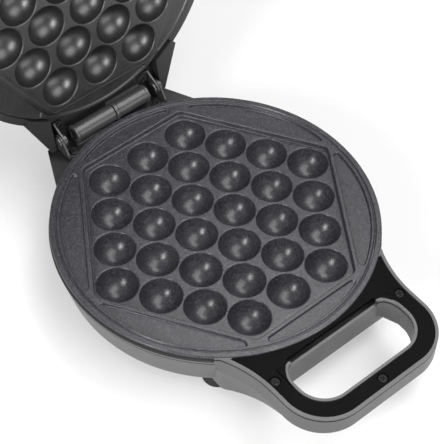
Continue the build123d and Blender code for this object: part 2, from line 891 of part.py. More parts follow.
# Base: the cord bush in the rear wall
bush_wall_y = base_rear_y - (ledge_z - bush_z) * tan(radians(block_draft))
bush_flange_y = base_rear_y - (ledge_z - bush_z - bush_flange_radius) * tan(radians(block_draft))
bush_inner_y = bush_wall_y - shell_wall - bush_radius * tan(radians(block_draft)) - bush_lip
with BuildPart() as cord_bush:
    with BuildSketch(Plane.XZ.offset(-bush_flange_y)):
        with Locations((bush_x, bush_z)):
            Circle(bush_flange_radius)
    extrude(amount=-bush_flange)
    with BuildSketch(Plane.XZ.offset(-bush_flange_y)):
        with Locations((bush_x, bush_z)):
            Circle(bush_radius)
    extrude(amount=bush_flange_y - bush_inner_y + bush_lip_length)
    with BuildSketch(Plane.XZ.offset(-bush_inner_y)):
        with Locations((bush_x, bush_z)):
            Circle(bush_radius + bush_lip)
    extrude(amount=bush_lip_length)
    with BuildSketch(Plane.XZ.offset(-bush_flange_y - bush_flange)):
        with Locations((bush_x, bush_z)):
            Circle(bush_bore)
    extrude(amount=bush_flange_y + bush_flange - bush_inner_y + bush_lip_length, mode=Mode.SUBTRACT)

# Hinge: brackets, their screws, the pins, the two wire tubes and the sleeve in them
base_bracket_outer = lid_bracket_outer + bracket_gap + bracket_sheet
base_bracket_front = bracket_screw_y - bracket_foot_radius
base_bracket_right = hinge_bracket(
    base_bracket_foot_z, base_bracket_outer, bracket_eye_radius, base_bracket_front
)

base_bracket_left = across(base_bracket_right)

base_bracket_screws = pan_head_screws(
    bracket_screw_places,
    base_screw_seat_z,
    bracket_screw_head_radius,
    bracket_screw_head,
    bracket_screw_radius,
    bracket_screw_length,
    up=True,
)

pin_inner = lid_bracket_outer - bracket_sheet
with BuildPart() as hinge_pins:
    with BuildSketch(Plane.YZ.offset(pin_inner)):
        with Locations((hinge_y, lid_hinge_z)):
            Circle(pin_radius)
    extrude(amount=base_bracket_outer - pin_inner)
    with BuildSketch(Plane.YZ.offset(base_bracket_outer)):
        with Locations((hinge_y, lid_hinge_z)):
            Circle(pin_head_radius)
    extrude(amount=pin_head)
    with BuildSketch(Plane.YZ.offset(pin_inner - bracket_gap)):
        with Locations((hinge_y, lid_hinge_z)):
            Circle(pin_head_radius)
    extrude(amount=-pin_head)
    with BuildSketch(Plane.YZ.offset(pin_inner - bracket_gap)):
        with Locations((hinge_y, lid_hinge_z)):
            Circle(pin_radius)
    extrude(amount=bracket_gap)
    mirror(about=Plane.YZ)

base_wire_tube = wire_tube(-base_tube_start, tube_split, ledge_z, 1)

with BuildPart() as wire_sleeve:
    with BuildSketch(Plane.YZ.offset(-base_tube_start + sleeve_inset)):
        with Locations((hinge_y, lid_hinge_z)):
            Circle(tube_bore - sleeve_clearance)
            Circle(sleeve_bore, mode=Mode.SUBTRACT)
    extrude(amount=base_tube_start + lid_tube_end - 2 * sleeve_inset)

# Lid: the housing with its hinge channel and handle
lid_outside = shell_outside(lid_lip_z, horn_tip_y, horn_tip_x, lid_block_depth)
lid_hollow = shell_hollow(lid_lip_z, horn_tip_y, horn_tip_x, lid_block_depth, lid_deck_z)
lid_cuts = handle_cuts(lid_lip_z)
with BuildPart() as lid_inside:
    add(lid_hollow)
    with Locations(*[(x, y, lid_deck_z) for x, y in bracket_screw_places]):
        Cylinder(
            bracket_column_radius,
            bracket_column_depth,
            align=(Align.CENTER, Align.CENTER, Align.MAX),
            mode=Mode.SUBTRACT,
        )

with BuildPart() as lid_shell:
    add(lid_outside)
    # The rear corners stand above the ledge on both sides of the channel
    with BuildSketch(Plane.XY.offset(ledge_z)):
        add(rear_region(horn_tip_y, horn_tip_x, 0))
    extrude(amount=horn_rise)
    with BuildSketch(Plane.XY.offset(lid_deck_z)):
        with Locations((0, block_root_y)):
            Rectangle(2 * channel_half, horn_tip_y, align=(Align.CENTER, Align.MIN))
    extrude(amount=ledge_z + horn_rise - lid_deck_z, mode=Mode.SUBTRACT)
    add(lid_inside.part, mode=Mode.SUBTRACT)
    add(lid_cuts, mode=Mode.SUBTRACT)
    with BuildSketch(Plane.XY.offset(lid_deck_z)):
        with Locations(*bracket_screw_places):
            Circle(bracket_foot_radius)
    extrude(amount=lid_boss_height)
    lid_screw_seat_z = lid_deck_z + lid_boss_height + bracket_sheet
    with BuildSketch(Plane.XY.offset(lid_screw_seat_z - bracket_screw_length)):
        with Locations(*bracket_screw_places):
            Circle(bracket_screw_radius + fit)
    extrude(amount=bracket_screw_length, mode=Mode.SUBTRACT)
    with BuildSketch(Plane.XY):
        with Locations(*lamp_places):
            Circle(lens_radius + fit)
    extrude(amount=floor_z + floor_wall + overrun, mode=Mode.SUBTRACT)

lid_housing = over(lid_shell)

lid_ring = over(inner_ring())

lid_handle_cover = over(handle_cover(lid_lip_z))

lid_cover_screws = over(cover_screws(lid_lip_z))

# Lid: the cast plate, whose half balls lie in a raised field
with BuildPart() as upper_cast:
    add(plate_body(field_foot_z))
    with BuildSketch(Plane.XY.offset(field_foot_z - upper_moat_depth)):
        add(moats(field_foot_margin, upper_moat_corner_radius))
    extrude(amount=upper_moat_depth, mode=Mode.SUBTRACT)
    with BuildSketch(Plane.XY.offset(field_foot_z)) as field:
        add(hexagon(field_foot_margin))
        field_slope = field_foot_margin - field_margin
        fillet(field.vertices(), radius=tray_corner_radius + field_slope)
    extrude(amount=field_rise, taper=degrees(asin(field_slope / hypot(field_slope, field_rise))))
    add(plate_cuts(mould_z), mode=Mode.SUBTRACT)

upper_plate = over(upper_cast)

upper_plate_screws = over(lower_plate_screws)

upper_heating_element = over(lower_heating_element)

upper_reflector = over(lower_reflector)

# Lid: the brackets, their screws and the wire tube
lid_bracket_foot_z = lid_closed_deck_z - lid_boss_height - bracket_sheet
right_lid_bracket = hinge_bracket(
    lid_bracket_foot_z,
    lid_bracket_outer,
    bracket_eye_radius,
    bracket_screw_y - bracket_foot_radius,
)
lid_bracket_right = swung(right_lid_bracket)

lid_bracket_left = swung(across(right_lid_bracket))

lid_bracket_screws = swung(
    pan_head_screws(
        bracket_screw_places,
        lid_bracket_foot_z,
        bracket_screw_head_radius,
        bracket_screw_head,
        bracket_screw_radius,
        bracket_screw_length,
        up=False,
    )
)

lid_wire_tube = swung(wire_tube(tube_split + tube_end_gap, lid_tube_end, lid_closed_deck_z, -1))

# Lid: the two indicator lenses and the lamps behind them
lenses = {}
for lens_name, lamp_place in zip(("power_lens", "ready_lens"), lamp_places):
    with BuildPart() as lens:
        with BuildSketch(Plane.XY.offset(floor_z - lens_proud)):
            with Locations(lamp_place):
                Circle(lens_radius)
        extrude(amount=lens_proud + floor_wall)
        with BuildSketch(Plane.XY.offset(floor_z + floor_wall)):
            with Locations(lamp_place):
                Circle(lens_flange_radius)
        extrude(amount=lens_flange)
        chamfer(lens.edges().group_by(Axis.Z)[0], length=lens_proud / 2)
    lenses[lens_name] = over(lens)

with BuildPart() as lamps:
    with BuildSketch(Plane.XY.offset(floor_z + floor_wall + lens_flange)):
        with Locations(*lamp_places):
            Circle(lamp_radius)
    extrude(amount=lamp_length)
indicator_lamps = over(lamps)

# Each piece moves from the mould's centre to its place over the origin and is written
nodes = {
    "base_housing": base_housing,
    "base_ring": base_ring,
    "base_handle_cover": base_handle_cover,
    "base_cover_screws": base_cover_screws,
    "lower_plate": lower_plate,
    "lower_plate_screws": lower_plate_screws,
    "lower_heating_element": lower_heating_element,
    "lower_reflector": lower_reflector,
    "thermostat": thermostat,
    "thermal_fuse": thermal_fuse,
    "terminal_block": terminal_block,
    "feet": feet,
    "foot_screws": foot_screws,
    "cord_bush": cord_bush,
    "base_bracket_right": base_bracket_right,
    "base_bracket_left": base_bracket_left,
    "base_bracket_screws": base_bracket_screws,
    "hinge_pins": hinge_pins,
    "base_wire_tube": base_wire_tube,
    "wire_sleeve": wire_sleeve,
    "lid_housing": lid_housing,
    "lid_ring": lid_ring,
    "lid_handle_cover": lid_handle_cover,
    "lid_cover_screws": lid_cover_screws,
    "upper_plate": upper_plate,
    "upper_plate_screws": upper_plate_screws,
    "upper_heating_element": upper_heating_element,
    "upper_reflector": upper_reflector,
    "lid_bracket_right": lid_bracket_right,
    "lid_bracket_left": lid_bracket_left,
    "lid_bracket_screws": lid_bracket_screws,
    "lid_wire_tube": lid_wire_tube,
    "indicator_lamps": indicator_lamps,
}
for name, piece in (nodes | lenses).items():
    piece.part = piece.part.moved(Location((0, mould_y, 0)))
    piece.part.label = name
    export_step(piece.part, "parts/" + name + ".step")
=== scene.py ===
"""Looks of a round bubble waffle maker that stands open: satin grey shells, black handle covers,
and two speckled non-stick plates with half-ball cavities.

Shapes are worked out with numpy in millimetres about the mould's centre, x to the right, y to
the hinge and z up from the table, and are written to the meshes in metres in the part's frame.
The lid's plate, corners and screws are drawn open side up, as the base's are.
"""

import bmesh
import bpy
import numpy as np
from mathutils import Matrix, Vector


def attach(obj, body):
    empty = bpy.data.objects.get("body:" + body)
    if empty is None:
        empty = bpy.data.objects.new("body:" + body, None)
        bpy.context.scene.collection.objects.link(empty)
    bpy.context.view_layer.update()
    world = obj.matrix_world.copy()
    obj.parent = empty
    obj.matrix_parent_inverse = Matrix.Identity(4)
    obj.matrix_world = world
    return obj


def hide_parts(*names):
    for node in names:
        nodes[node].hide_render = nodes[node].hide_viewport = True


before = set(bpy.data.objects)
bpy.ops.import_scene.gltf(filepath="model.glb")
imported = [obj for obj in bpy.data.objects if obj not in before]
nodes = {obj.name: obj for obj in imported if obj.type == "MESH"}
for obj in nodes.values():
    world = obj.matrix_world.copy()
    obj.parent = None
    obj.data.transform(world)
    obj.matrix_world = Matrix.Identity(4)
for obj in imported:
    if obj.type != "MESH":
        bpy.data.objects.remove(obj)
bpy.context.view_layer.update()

# A millimetre in metres, and how near points are welded in a new surface and in a node, in
# millimetres. Faces of a node join below one turn, and its edges are rounded above another
MM = 0.001
SEAM_WELD = 0.0001
NODE_WELD = 0.001
FLAT_TURN = np.radians(0.6)
SHARP_TURN = np.radians(30.0)

# The mould's centre, the gap between the closed plates, and the hinge line
MOULD_Y = -17.35
MOULD_Z = 47.0
MOULD_GAP = 1.0
HINGE_Y = 100.0
HINGE_Z = 50.1
OPEN_ANGLE = np.radians(103.6)

# The lattice of half balls, how far inside the tray's outline their shares of floor end, the
# steps along each side of a share and out across it, and the turns up a ball and over its lip
PITCH = 28.5
ROW_PITCH = 20.9
ROW_COUNTS = (3, 4, 5, 6, 5, 4, 3)
BUBBLE_RADIUS = 12.1
BUBBLE_LIP = 0.45
LOWER_INSET = 1.5
UPPER_INSET = 1.3
NEIGHBOUR_REACH = 1.5 * PITCH
SIDE_STEPS = 8
FLOOR_RINGS = np.array([0.1, 0.5, 1.0])[:, None]
BALL_RISE = [0, *np.arange(3, 60, 6.5), *np.arange(60, 86, 4.5), 86, 89]
BALL_TURN = np.radians(BALL_RISE)
LIP_TURN = np.radians([12, 32, 52, 72, 90])

# The lower plate's tray: its hexagon, its wall, which starts inside the outline, and the ridge
# round it
TRAY_DEPTH = 3.0
TRAY_END_Y = 78.0
TRAY_CORNER_X = 36.6
TRAY_TIP_X = 87.3
TRAY_CORNER_RADIUS = 5.5
WALL_START = -0.5
WALL_FILLET = 0.45
RIDGE_WIDTH = 2.2

# The upper plate's raised field, which closes on the tray: its side runs between two margins
# outside the tray's outline, and its lap under the floor ends inside it
FIELD_RISE = 4.0
FIELD_MARGIN = 0.2
FIELD_FOOT_MARGIN = 3.0
FIELD_EASE = 0.35
LAP_START = -0.55
LAP_WIDTH = 0.15

# Both plates: how far they lap under the floor's edge, the rim, the moats and the slab beneath
FLOOR_LAP = 0.04
PLATE_RADIUS = 91.1
RIM_WIDTH = 1.7
RIM_ROUND = 0.6
MOAT_DEPTH = 1.8
UPPER_MOAT_DEPTH = 0.8
MOAT_LAND = 12.0
MOAT_CORNER_RADIUS = 1.4
UPPER_MOAT_CORNER_RADIUS = 0.8
MOAT_WALL = 0.6
LEAST_MOAT = 0.6
SKIRT_DEPTH = 6.2
SLAB_DEPTH = 17.5
SLAB_MARGIN = 0.2
SLAB_DRAFT = np.radians(25.0)
SLAB_CHAMFER = 0.2
CHAMFER = 0.3

# The lower plate's flange and the fine groove inside it
FLANGE_WIDTH = 4.0
FLANGE_DEPTH = 2.0
GROOVE_DEPTH = 0.8
GROOVE_RADIUS = PLATE_RADIUS + 0.2
GROOVE_HALF = 0.8
GROOVE_WALL = 0.5

# Rings of points on a plate: across the tray's wall and the field's side by their distance
# from the tray's outline, across a moat's wall as shares of a zone that is narrower in a narrow
# moat, in from the rim's edge, and about the plate's radius for the groove
WALL_RINGS = [-1.2, -1.0, -0.85, -0.7, -0.58, -0.5, -0.42, -0.36, -0.3, -0.2, -0.1, 0.0]
TRAY_RINGS = np.array([*WALL_RINGS, 0.12, 0.25, 0.42, 0.65])
LAP_RINGS = [-1.0, -0.8, -0.66, -0.58, -0.5, -0.42, -0.3, -0.2, -0.1, 0.0]
FIELD_RINGS = np.array([*LAP_RINGS, 0.1, 0.2, 0.3, 0.42, 0.55, 0.75])
RIDGE_STEPS = 4
MOAT_RINGS = np.array([0.0, 0.12, 0.25, 0.4, 0.55, 0.7, 0.85, 1.0])
MOAT_ZONE = 1.1
MOAT_ZONE_SHARE = 0.45
MOAT_STEPS = 9
EDGE_RINGS = np.array([1.5, 1.3, 1.1, 0.9, 0.75, 0.6, 0.48, 0.36, 0.25, 0.15, 0.07, 0.02, 0.0])
GROOVE_RINGS = np.linspace(-1.4, 1.6, 16)

# Directions round a plate, in degrees from a corner of the tray: the land ends at the first
# turn and the end of a moat at the second, each has its own step, and wide steps follow. Then
# how often a ray is halved, and how little a side may face a ray that meets it
LAND_TURN = 2.8
LAND_STEP = 0.4
MOAT_TURN = 5.6
MOAT_STEP = 0.22
WIDE_STEPS = 22
HALVINGS = 34
LEAST_FACING = 0.05

# The rear corners of the finger openings: the grey lip and wall, and the black fill behind
BASE_LIP_Z = 46.5
LID_LIP_Z = 47.5
GRIP_HALF = 39.2
GRIP_REAR = 100.6
GRIP_DEPTH = 15.3
GRIP_LIP = 1.6
GRIP_WALL = 0.3
CORNER_REACH = np.array([7.2, 12.0])
FILL_DEPTH = 0.85
FILL_RISE = 0.05
FILL_LAP = 0.25
BAR_EDGE = 0.3
BAR_EDGE_SHARE = 0.45
LEAST_WIDTH = 1e-6
CORNER_STEPS = 25

# The collars on the wire tubes: where each starts and ends along the hinge line
TUBE_RADIUS = 5.2
COLLAR_RADIUS = 5.65
COLLAR_ROOT = 0.4
COLLAR_EDGE = 0.35
BASE_COLLAR = (-26.5, -24.7)
LID_COLLARS = ((2.65, 5.2), (26.1, 27.9))
COLLAR_STEPS = 64
QUARTER_BEND = np.radians([0.0, 30.0, 60.0, 90.0])

# The screws: places, radius and height of the heads, seats, and how each cross is turned.
# A head's rings, where it starts to roll, and the arms of its cross are shares of its radius.
# What it loses at the edge and in the cross are shares of its height, and the cross rises
# towards its ends by a share of its own depth
COVER_SCREWS = ((-46.0, -103.5), (46.0, -103.5), (0.0, -138.0))
COVER_HEAD = (2.8, 1.1)
COVER_SEAT_DROP = 2.0
COVER_SLANTS = (0.4, 1.1, 0.7)
BRACKET_SCREWS = ((-31.5, 93.2), (31.5, 93.2))
BRACKET_HEAD = (2.9, 1.3)
BASE_BRACKET_SEAT = 44.7
LID_BRACKET_SEAT = 39.8
BASE_BRACKET_SLANTS = (0.5, 0.9)
LID_BRACKET_SLANTS = (0.2, 0.8)
HEAD_STEPS = 72
MIDDLE_RINGS = [0, 0.06, 0.12, 0.18, 0.25, 0.32, 0.4, 0.48, 0.54, 0.58, 0.62]
HEAD_RINGS = np.array([*MIDDLE_RINGS, 0.67, 0.73, 0.8, 0.87, 0.93, 0.97, 1.0])
ROLL_START = 0.55
ROLL_FLATNESS = 0.98
EDGE_LOSS = 0.45
ARM_HALF = 0.13
ARM_REACH = 0.62
ARM_WALL = 0.09
ARM_LAP = 0.4
CROSS_LOSS = 0.62
CROSS_RISE = 0.5

# The grain of the finishes. Noise and patches have a size in millimetres, then detail and
# roughness, and the fine grain's size is each finish's own. A relief has a strength and a
# height in millimetres, and a gloss has its ends as shares of the roughness. The places are
# where on a noise's ramp its tones stand
GRAIN_NOISE = (4.0, 0.6)
PATCH_PLACES = (0.3, 0.7)
PLASTIC_PLACES = (0.35, 0.65)
PLASTIC_PATCHES = (14.0, 2.0)
PLASTIC_STRENGTH = 0.35
METAL_PLACES = (0.3, 0.7)
METAL_PATCHES = (3.0, 2.0)
METAL_GLOSS = (0.8, 1.25)
METAL_RELIEF = (0.25, 0.02)
SPECKLE_NOISE = (0.95, 3.0, 0.75)
SPECKLE_PLACES = (0.40, 0.55, 0.63)
SPECKLE_SPREAD = 0.38
MICA_GAIN = 2.6
WEAR_PATCHES = (9.0, 3.0)
WEAR_GLOSS = (0.9, 1.1)
PEEL_NOISE = (1.1, 4.0, 0.7)
PEEL_RELIEF = (0.5, 0.07)
LENS_NOISE = (1.5, 2.0)
LENS_RELIEF = (0.15, 0.03)
LENS_SPECULAR = 0.5
LENS_CLEARNESS = 0.6
LENS_INDEX = 1.49

# The shells' painted shade: the dark tone painted on the hinge deck, where the lid shades it, its
# reach and the shares of the reach between which it fades, then the tone of a black line of
# painted shade where a fine groove runs round the wall, its height and half width, and its rise on
# the handle
PAINTED_HINGE_SHADE_TONE = (0.010, 0.010, 0.010)
PAINTED_HINGE_SHADE_REACH = 80.0
PAINTED_HINGE_SHADE_PLACES = (0.35, 1.0)
PAINTED_SEAM_SHADE_TONE = (0.0, 0.0, 0.0)
SEAM_Z = 39.9
SEAM_HALF = 0.28
SHOULDER_Y = -72.5
SHOULDER_RISE = 4.8

# The camera: turned to the left of the front, raised and rolled, at a distance from its aim.
# The focal length and the height of the picture are in pixels, the sensor in millimetres and
# what it sees from and to in metres
CAMERA_TURN, CAMERA_RISE, CAMERA_ROLL = np.radians([-42.33, 51.39, 2.76])
CAMERA_DISTANCE = 885.7
CAMERA_AIM = np.array([0.15, -3.44, MOULD_Z])
CAMERA_CLIP = (0.05, 20.0)
FOCAL_PIXELS = 1550.39
PICTURE_PIXELS = 444
SENSOR = 36

# The floor: its reach in metres, where its glow starts and ends and how strong it is there,
# the tones that catch light to the eye and for other rays, and the studio's soft light
FLOOR_REACH = 6.0
GLOW_PLACES = (0.25, 0.85)
GLOW_STRENGTHS = (0.25, 1.0)
FLOOR_CATCH = 0.55
FLOOR_MATT = 0.80
SOFT_LIGHT = 0.2

# The lamps: place, aim, width and depth, and power in watts
LAMPS = {
    "ceiling": ((200, -500, 1400), (0, 0, 80), 1400, 800, 20.0),
    "sheen": ((600, 330, 1500), (0, 0, 50), 700, 520, 8.5),
    "side": ((-1180, -300, 620), (0, 0, 80), 300, 820, 21.0),
    "front": ((200, -1500, 350), (0, 0, 60), 1500, 600, 11.0),
}


def part_frame(points):
    """Points about the mould's centre moved to the part's frame, in metres."""
    return (points + np.array([0.0, MOULD_Y, 0.0])) * MM


def lid_frame(points):
    """Points drawn as for the base, mirrored about the parting plane, turned open about the
    hinge line, then moved to the part's frame, in metres."""
    x, y, z = np.moveaxis(points, -1, 0)
    closed_z = 2 * MOULD_Z + MOULD_GAP - z
    dy, dz = y - HINGE_Y, closed_z - HINGE_Z
    c, s = np.cos(OPEN_ANGLE), np.sin(OPEN_ANGLE)
    turned = np.stack([x, HINGE_Y + c * dy + s * dz, HINGE_Z - s * dy + c * dz], axis=-1)
    return part_frame(turned)


def grid_faces(rows, columns, start):
    """Quads of a grid whose last column joins the first: each point with the one above it and
    their neighbours, counted from start."""
    row = np.arange(rows - 1)[:, None] * columns
    column = np.arange(columns)[None, :]
    after = (column + 1) % columns
    corners = (row + column, row + columns + column, row + columns + after, row + after)
    return np.stack(corners, axis=-1).reshape(-1, 4) + start


def surface(name, patches, place, body, slot, replaced, finish=None):
    """A smooth closed piece from patches, grids of points whose rows close round. The first and
    last row of a patch may be one point repeated: welding them makes a closed pole. Where two
    patches leave a narrow seam, a strip joins their edges. The finish has the slot's name
    unless another is given."""
    points, faces, start = [], [], 0
    for patch in patches:
        rows, columns = patch.shape[:2]
        points.append(patch.reshape(-1, 3))
        faces.append(grid_faces(rows, columns, start))
        start += rows * columns
    points = place(np.concatenate(points))
    mesh = bpy.data.meshes.new(name)
    mesh.from_pydata(points.tolist(), [], np.concatenate(faces).tolist())
    shape = bmesh.new()
    shape.from_mesh(mesh)
    bmesh.ops.remove_doubles(shape, verts=shape.verts, dist=SEAM_WELD * MM)
    open_edges = [edge for edge in shape.edges if edge.is_boundary]
    if open_edges:
        bmesh.ops.bridge_loops(shape, edges=open_edges)
    bmesh.ops.recalc_face_normals(shape, faces=shape.faces)
    shape.to_mesh(mesh)
    shape.free()
    mesh.polygons.foreach_set("use_smooth", np.ones(len(mesh.polygons), bool))
    mesh.update()
    piece = bpy.data.objects.new(name, mesh)
    bpy.context.scene.collection.objects.link(piece)
    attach(piece, body)
    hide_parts(*replaced)
    mesh.materials.append(finishes[finish or slot])


# Finishes


def shader(name, colour, roughness, specular, metallic=0.0):
    """A material with one principled shader, and its node tree and shader."""
    material = bpy.data.materials.new(name)
    material.use_nodes = True
    tree = material.node_tree
    bsdf = tree.nodes["Principled BSDF"]
    bsdf.inputs["Base Color"].default_value = (*colour, 1.0)
    bsdf.inputs["Roughness"].default_value = roughness
    bsdf.inputs["Specular IOR Level"].default_value = specular
    bsdf.inputs["Metallic"].default_value = metallic
    return material, tree, bsdf


def noise(tree, size, detail, rough=0.5):
    """Noise on object coordinates whose grains are about size millimetres wide."""
    place = tree.nodes.new("ShaderNodeTexCoord")
    grain = tree.nodes.new("ShaderNodeTexNoise")
    grain.inputs["Scale"].default_value = 1.0 / (size * MM)
    grain.inputs["Detail"].default_value = detail
    grain.inputs["Roughness"].default_value = rough
    tree.links.new(place.outputs["Object"], grain.inputs["Vector"])
    return grain.outputs["Fac"]


def ramp(tree, source, places, colours):
    """A colour ramp of the source: each colour at its place."""
    node = tree.nodes.new("ShaderNodeValToRGB")
    band = node.color_ramp
    while len(band.elements) < len(places):
        band.elements.new(0.5)
    for element, place, colour in zip(band.elements, places, colours):
        element.position = place
        element.color = (*colour, 1.0)
    tree.links.new(source, node.inputs["Fac"])
    return node.outputs["Color"]


def grey_ramp(tree, source, places, greys):
    """A ramp of the source from one grey to another, each at its place."""
    return ramp(tree, source, places, [(grey,) * 3 for grey in greys])


def arithmetic(tree, operation, first, second):
    """The result of an operation on a socket and another socket, or a number."""
    node = tree.nodes.new("ShaderNodeMath")
    node.operation = operation
    tree.links.new(first, node.inputs[0])
    if isinstance(second, float):
        node.inputs[1].default_value = second
    else:
        tree.links.new(second, node.inputs[1])
    return node.outputs["Value"]


def bump(tree, bsdf, source, strength, height):
    """Relief of the source, its height in millimetres."""
    node = tree.nodes.new("ShaderNodeBump")
    node.inputs["Strength"].default_value = strength
    node.inputs["Distance"].default_value = height * MM
    tree.links.new(source, node.inputs["Height"])
    tree.links.new(node.outputs["Normal"], bsdf.inputs["Normal"])


def patchy_gloss(tree, bsdf, patches, roughness, shares):
    """Roughness that wanders in patches from one share of itself to another."""
    ends = [roughness * share for share in shares]
    wandering = grey_ramp(tree, noise(tree, *patches), PATCH_PLACES, ends)
    tree.links.new(wandering, bsdf.inputs["Roughness"])


def tones(colour, spread):
    """Two tones either side of a colour."""
    low = tuple(c * (1 - spread) for c in colour)
    high = tuple(c * (1 + spread) for c in colour)
    return low, high


def satin_plastic(name, colour, roughness, specular, grain_size, mottle, unevenness, relief):
    """Moulded plastic: fine grain in relief and in colour, and soft patches in the gloss."""
    material, tree, bsdf = shader(name, colour, roughness, specular)
    grain = noise(tree, grain_size, *GRAIN_NOISE)
    mottled = ramp(tree, grain, PLASTIC_PLACES, tones(colour, mottle))
    tree.links.new(mottled, bsdf.inputs["Base Color"])
    patchy_gloss(tree, bsdf, PLASTIC_PATCHES, roughness, (1 - unevenness, 1 + unevenness))
    bump(tree, bsdf, grain, PLASTIC_STRENGTH, relief)
    return material


def metal(name, colour, roughness, grain_size, spread, specular, metallic):
    """Plain or coated metal with fine pitting and uneven gloss."""
    material, tree, bsdf = shader(name, colour, roughness, specular, metallic)
    grain = noise(tree, grain_size, *GRAIN_NOISE)
    pitted = ramp(tree, grain, METAL_PLACES, tones(colour, spread))
    tree.links.new(pitted, bsdf.inputs["Base Color"])
    patchy_gloss(tree, bsdf, METAL_PATCHES, roughness, METAL_GLOSS)
    bump(tree, bsdf, grain, *METAL_RELIEF)
    return material


def clear_plastic(name, colour, roughness):
    """Clear coloured plastic of a lens, with a trace of waviness."""
    material, tree, bsdf = shader(name, colour, roughness, LENS_SPECULAR)
    bsdf.inputs["Transmission Weight"].default_value = LENS_CLEARNESS
    bsdf.inputs["IOR"].default_value = LENS_INDEX
    bump(tree, bsdf, noise(tree, *LENS_NOISE), *LENS_RELIEF)
    return material


def mould_coating(name, colour, roughness, specular):
    """Non-stick coating: near-black with pale flecks of mica, and orange-peel relief."""
    material, tree, bsdf = shader(name, colour, roughness, specular)
    fleck = tuple(MICA_GAIN * c for c in colour)
    stops = (*tones(colour, SPECKLE_SPREAD), fleck)
    speckled = ramp(tree, noise(tree, *SPECKLE_NOISE), SPECKLE_PLACES, stops)
    tree.links.new(speckled, bsdf.inputs["Base Color"])
    patchy_gloss(tree, bsdf, WEAR_PATCHES, roughness, WEAR_GLOSS)
    bump(tree, bsdf, noise(tree, *PEEL_NOISE), *PEEL_RELIEF)
    return material


def with_painted_shade(material, share, deep):
    """A material's colour led to a deep tone of painted shade: all of the tone where the share is
    nought.
    """
    tree = material.node_tree
    shown = tree.nodes["Principled BSDF"].inputs["Base Color"]
    mix = tree.nodes.new("ShaderNodeMix")
    mix.data_type = "RGBA"
    sockets = {socket.identifier: socket for socket in mix.inputs}
    sockets["A_Color"].default_value = (*deep, 1.0)
    tree.links.new(share, sockets["Factor_Float"])
    tree.links.new(shown.links[0].from_socket, sockets["B_Color"])
    mixed = next(socket for socket in mix.outputs if socket.identifier == "Result_Color")
    tree.links.new(mixed, shown)


def painted_shade_at_hinge(material):
    """A shell's colour, led down to a deep tone of painted shade on the hinge deck, where the lid
    shades
    it: the ramp runs on a point's distance from the hinge line, so the base and the lid darken
    alike."""
    tree = material.node_tree
    place = tree.nodes.new("ShaderNodeTexCoord")
    away = tree.nodes.new("ShaderNodeVectorMath")
    away.operation = "SUBTRACT"
    away.inputs[1].default_value = (0.0, (HINGE_Y + MOULD_Y) * MM, HINGE_Z * MM)
    flat = tree.nodes.new("ShaderNodeVectorMath")
    flat.operation = "MULTIPLY"
    flat.inputs[1].default_value = (0.0, 1.0 / (PAINTED_HINGE_SHADE_REACH * MM), 1.0 / (PAINTED_HINGE_SHADE_REACH * MM))
    reach = tree.nodes.new("ShaderNodeVectorMath")
    reach.operation = "LENGTH"
    tree.links.new(place.outputs["Object"], away.inputs[0])
    tree.links.new(away.outputs["Vector"], flat.inputs[0])
    tree.links.new(flat.outputs["Vector"], reach.inputs[0])
    share = grey_ramp(tree, reach.outputs["Value"], PAINTED_HINGE_SHADE_PLACES, (0.0, 1.0))
    with_painted_shade(material, share, PAINTED_HINGE_SHADE_TONE)


def painted_seam_shade(material):
    """A fine black line of painted shade round the base, where a groove runs a little below the
    top of its
    wall: a narrow band of heights, which is higher on the handle by the height of its shoulder. It
    has no gloss."""
    tree = material.node_tree
    place = tree.nodes.new("ShaderNodeTexCoord")
    split = tree.nodes.new("ShaderNodeSeparateXYZ")
    tree.links.new(place.outputs["Object"], split.inputs[0])
    on_handle = arithmetic(tree, "LESS_THAN", split.outputs["Y"], (SHOULDER_Y + MOULD_Y) * MM)
    rise = arithmetic(tree, "MULTIPLY", on_handle, SHOULDER_RISE)
    height = arithmetic(tree, "MULTIPLY", split.outputs["Z"], 1.0 / MM)
    above = arithmetic(tree, "SUBTRACT", arithmetic(tree, "SUBTRACT", height, rise), SEAM_Z)
    off = arithmetic(tree, "ABSOLUTE", above, 0.0)
    share = grey_ramp(tree, off, (SEAM_HALF, 2 * SEAM_HALF), (0.0, 1.0))
    with_painted_shade(material, share, PAINTED_SEAM_SHADE_TONE)
    gloss = tree.nodes["Principled BSDF"].inputs["Specular IOR Level"]
    tree.links.new(arithmetic(tree, "MULTIPLY", share, gloss.default_value), gloss)


# Colour, roughness, specular level, grain in mm, mottle, unevenness of gloss, relief in mm
PLASTICS = {
    "shell_plastic": ((0.060, 0.060, 0.062), 0.40, 0.5, 0.35, 0.16, 0.08, 0.02),
    "ring_plastic": ((0.012, 0.012, 0.013), 0.5, 0.3, 0.3, 0.15, 0.08, 0.02),
    "cover_plastic": ((0.0030, 0.0030, 0.0032), 0.46, 0.03, 0.3, 0.2, 0.1, 0.015),
    "fuse_sleeve": ((0.6, 0.58, 0.52), 0.55, 0.4, 0.4, 0.1, 0.1, 0.05),
    "terminal_plastic": ((0.7, 0.69, 0.65), 0.45, 0.5, 0.4, 0.05, 0.1, 0.02),
    "foot_rubber": ((0.012, 0.012, 0.012), 0.72, 0.3, 0.3, 0.2, 0.06, 0.03),
    "bush_plastic": ((0.012, 0.012, 0.012), 0.55, 0.4, 0.3, 0.2, 0.08, 0.02),
    "tube_plastic": ((0.034, 0.034, 0.035), 0.36, 0.5, 0.35, 0.2, 0.1, 0.03),
    "sleeve_plastic": ((0.02, 0.02, 0.02), 0.5, 0.4, 0.3, 0.15, 0.1, 0.02),
}

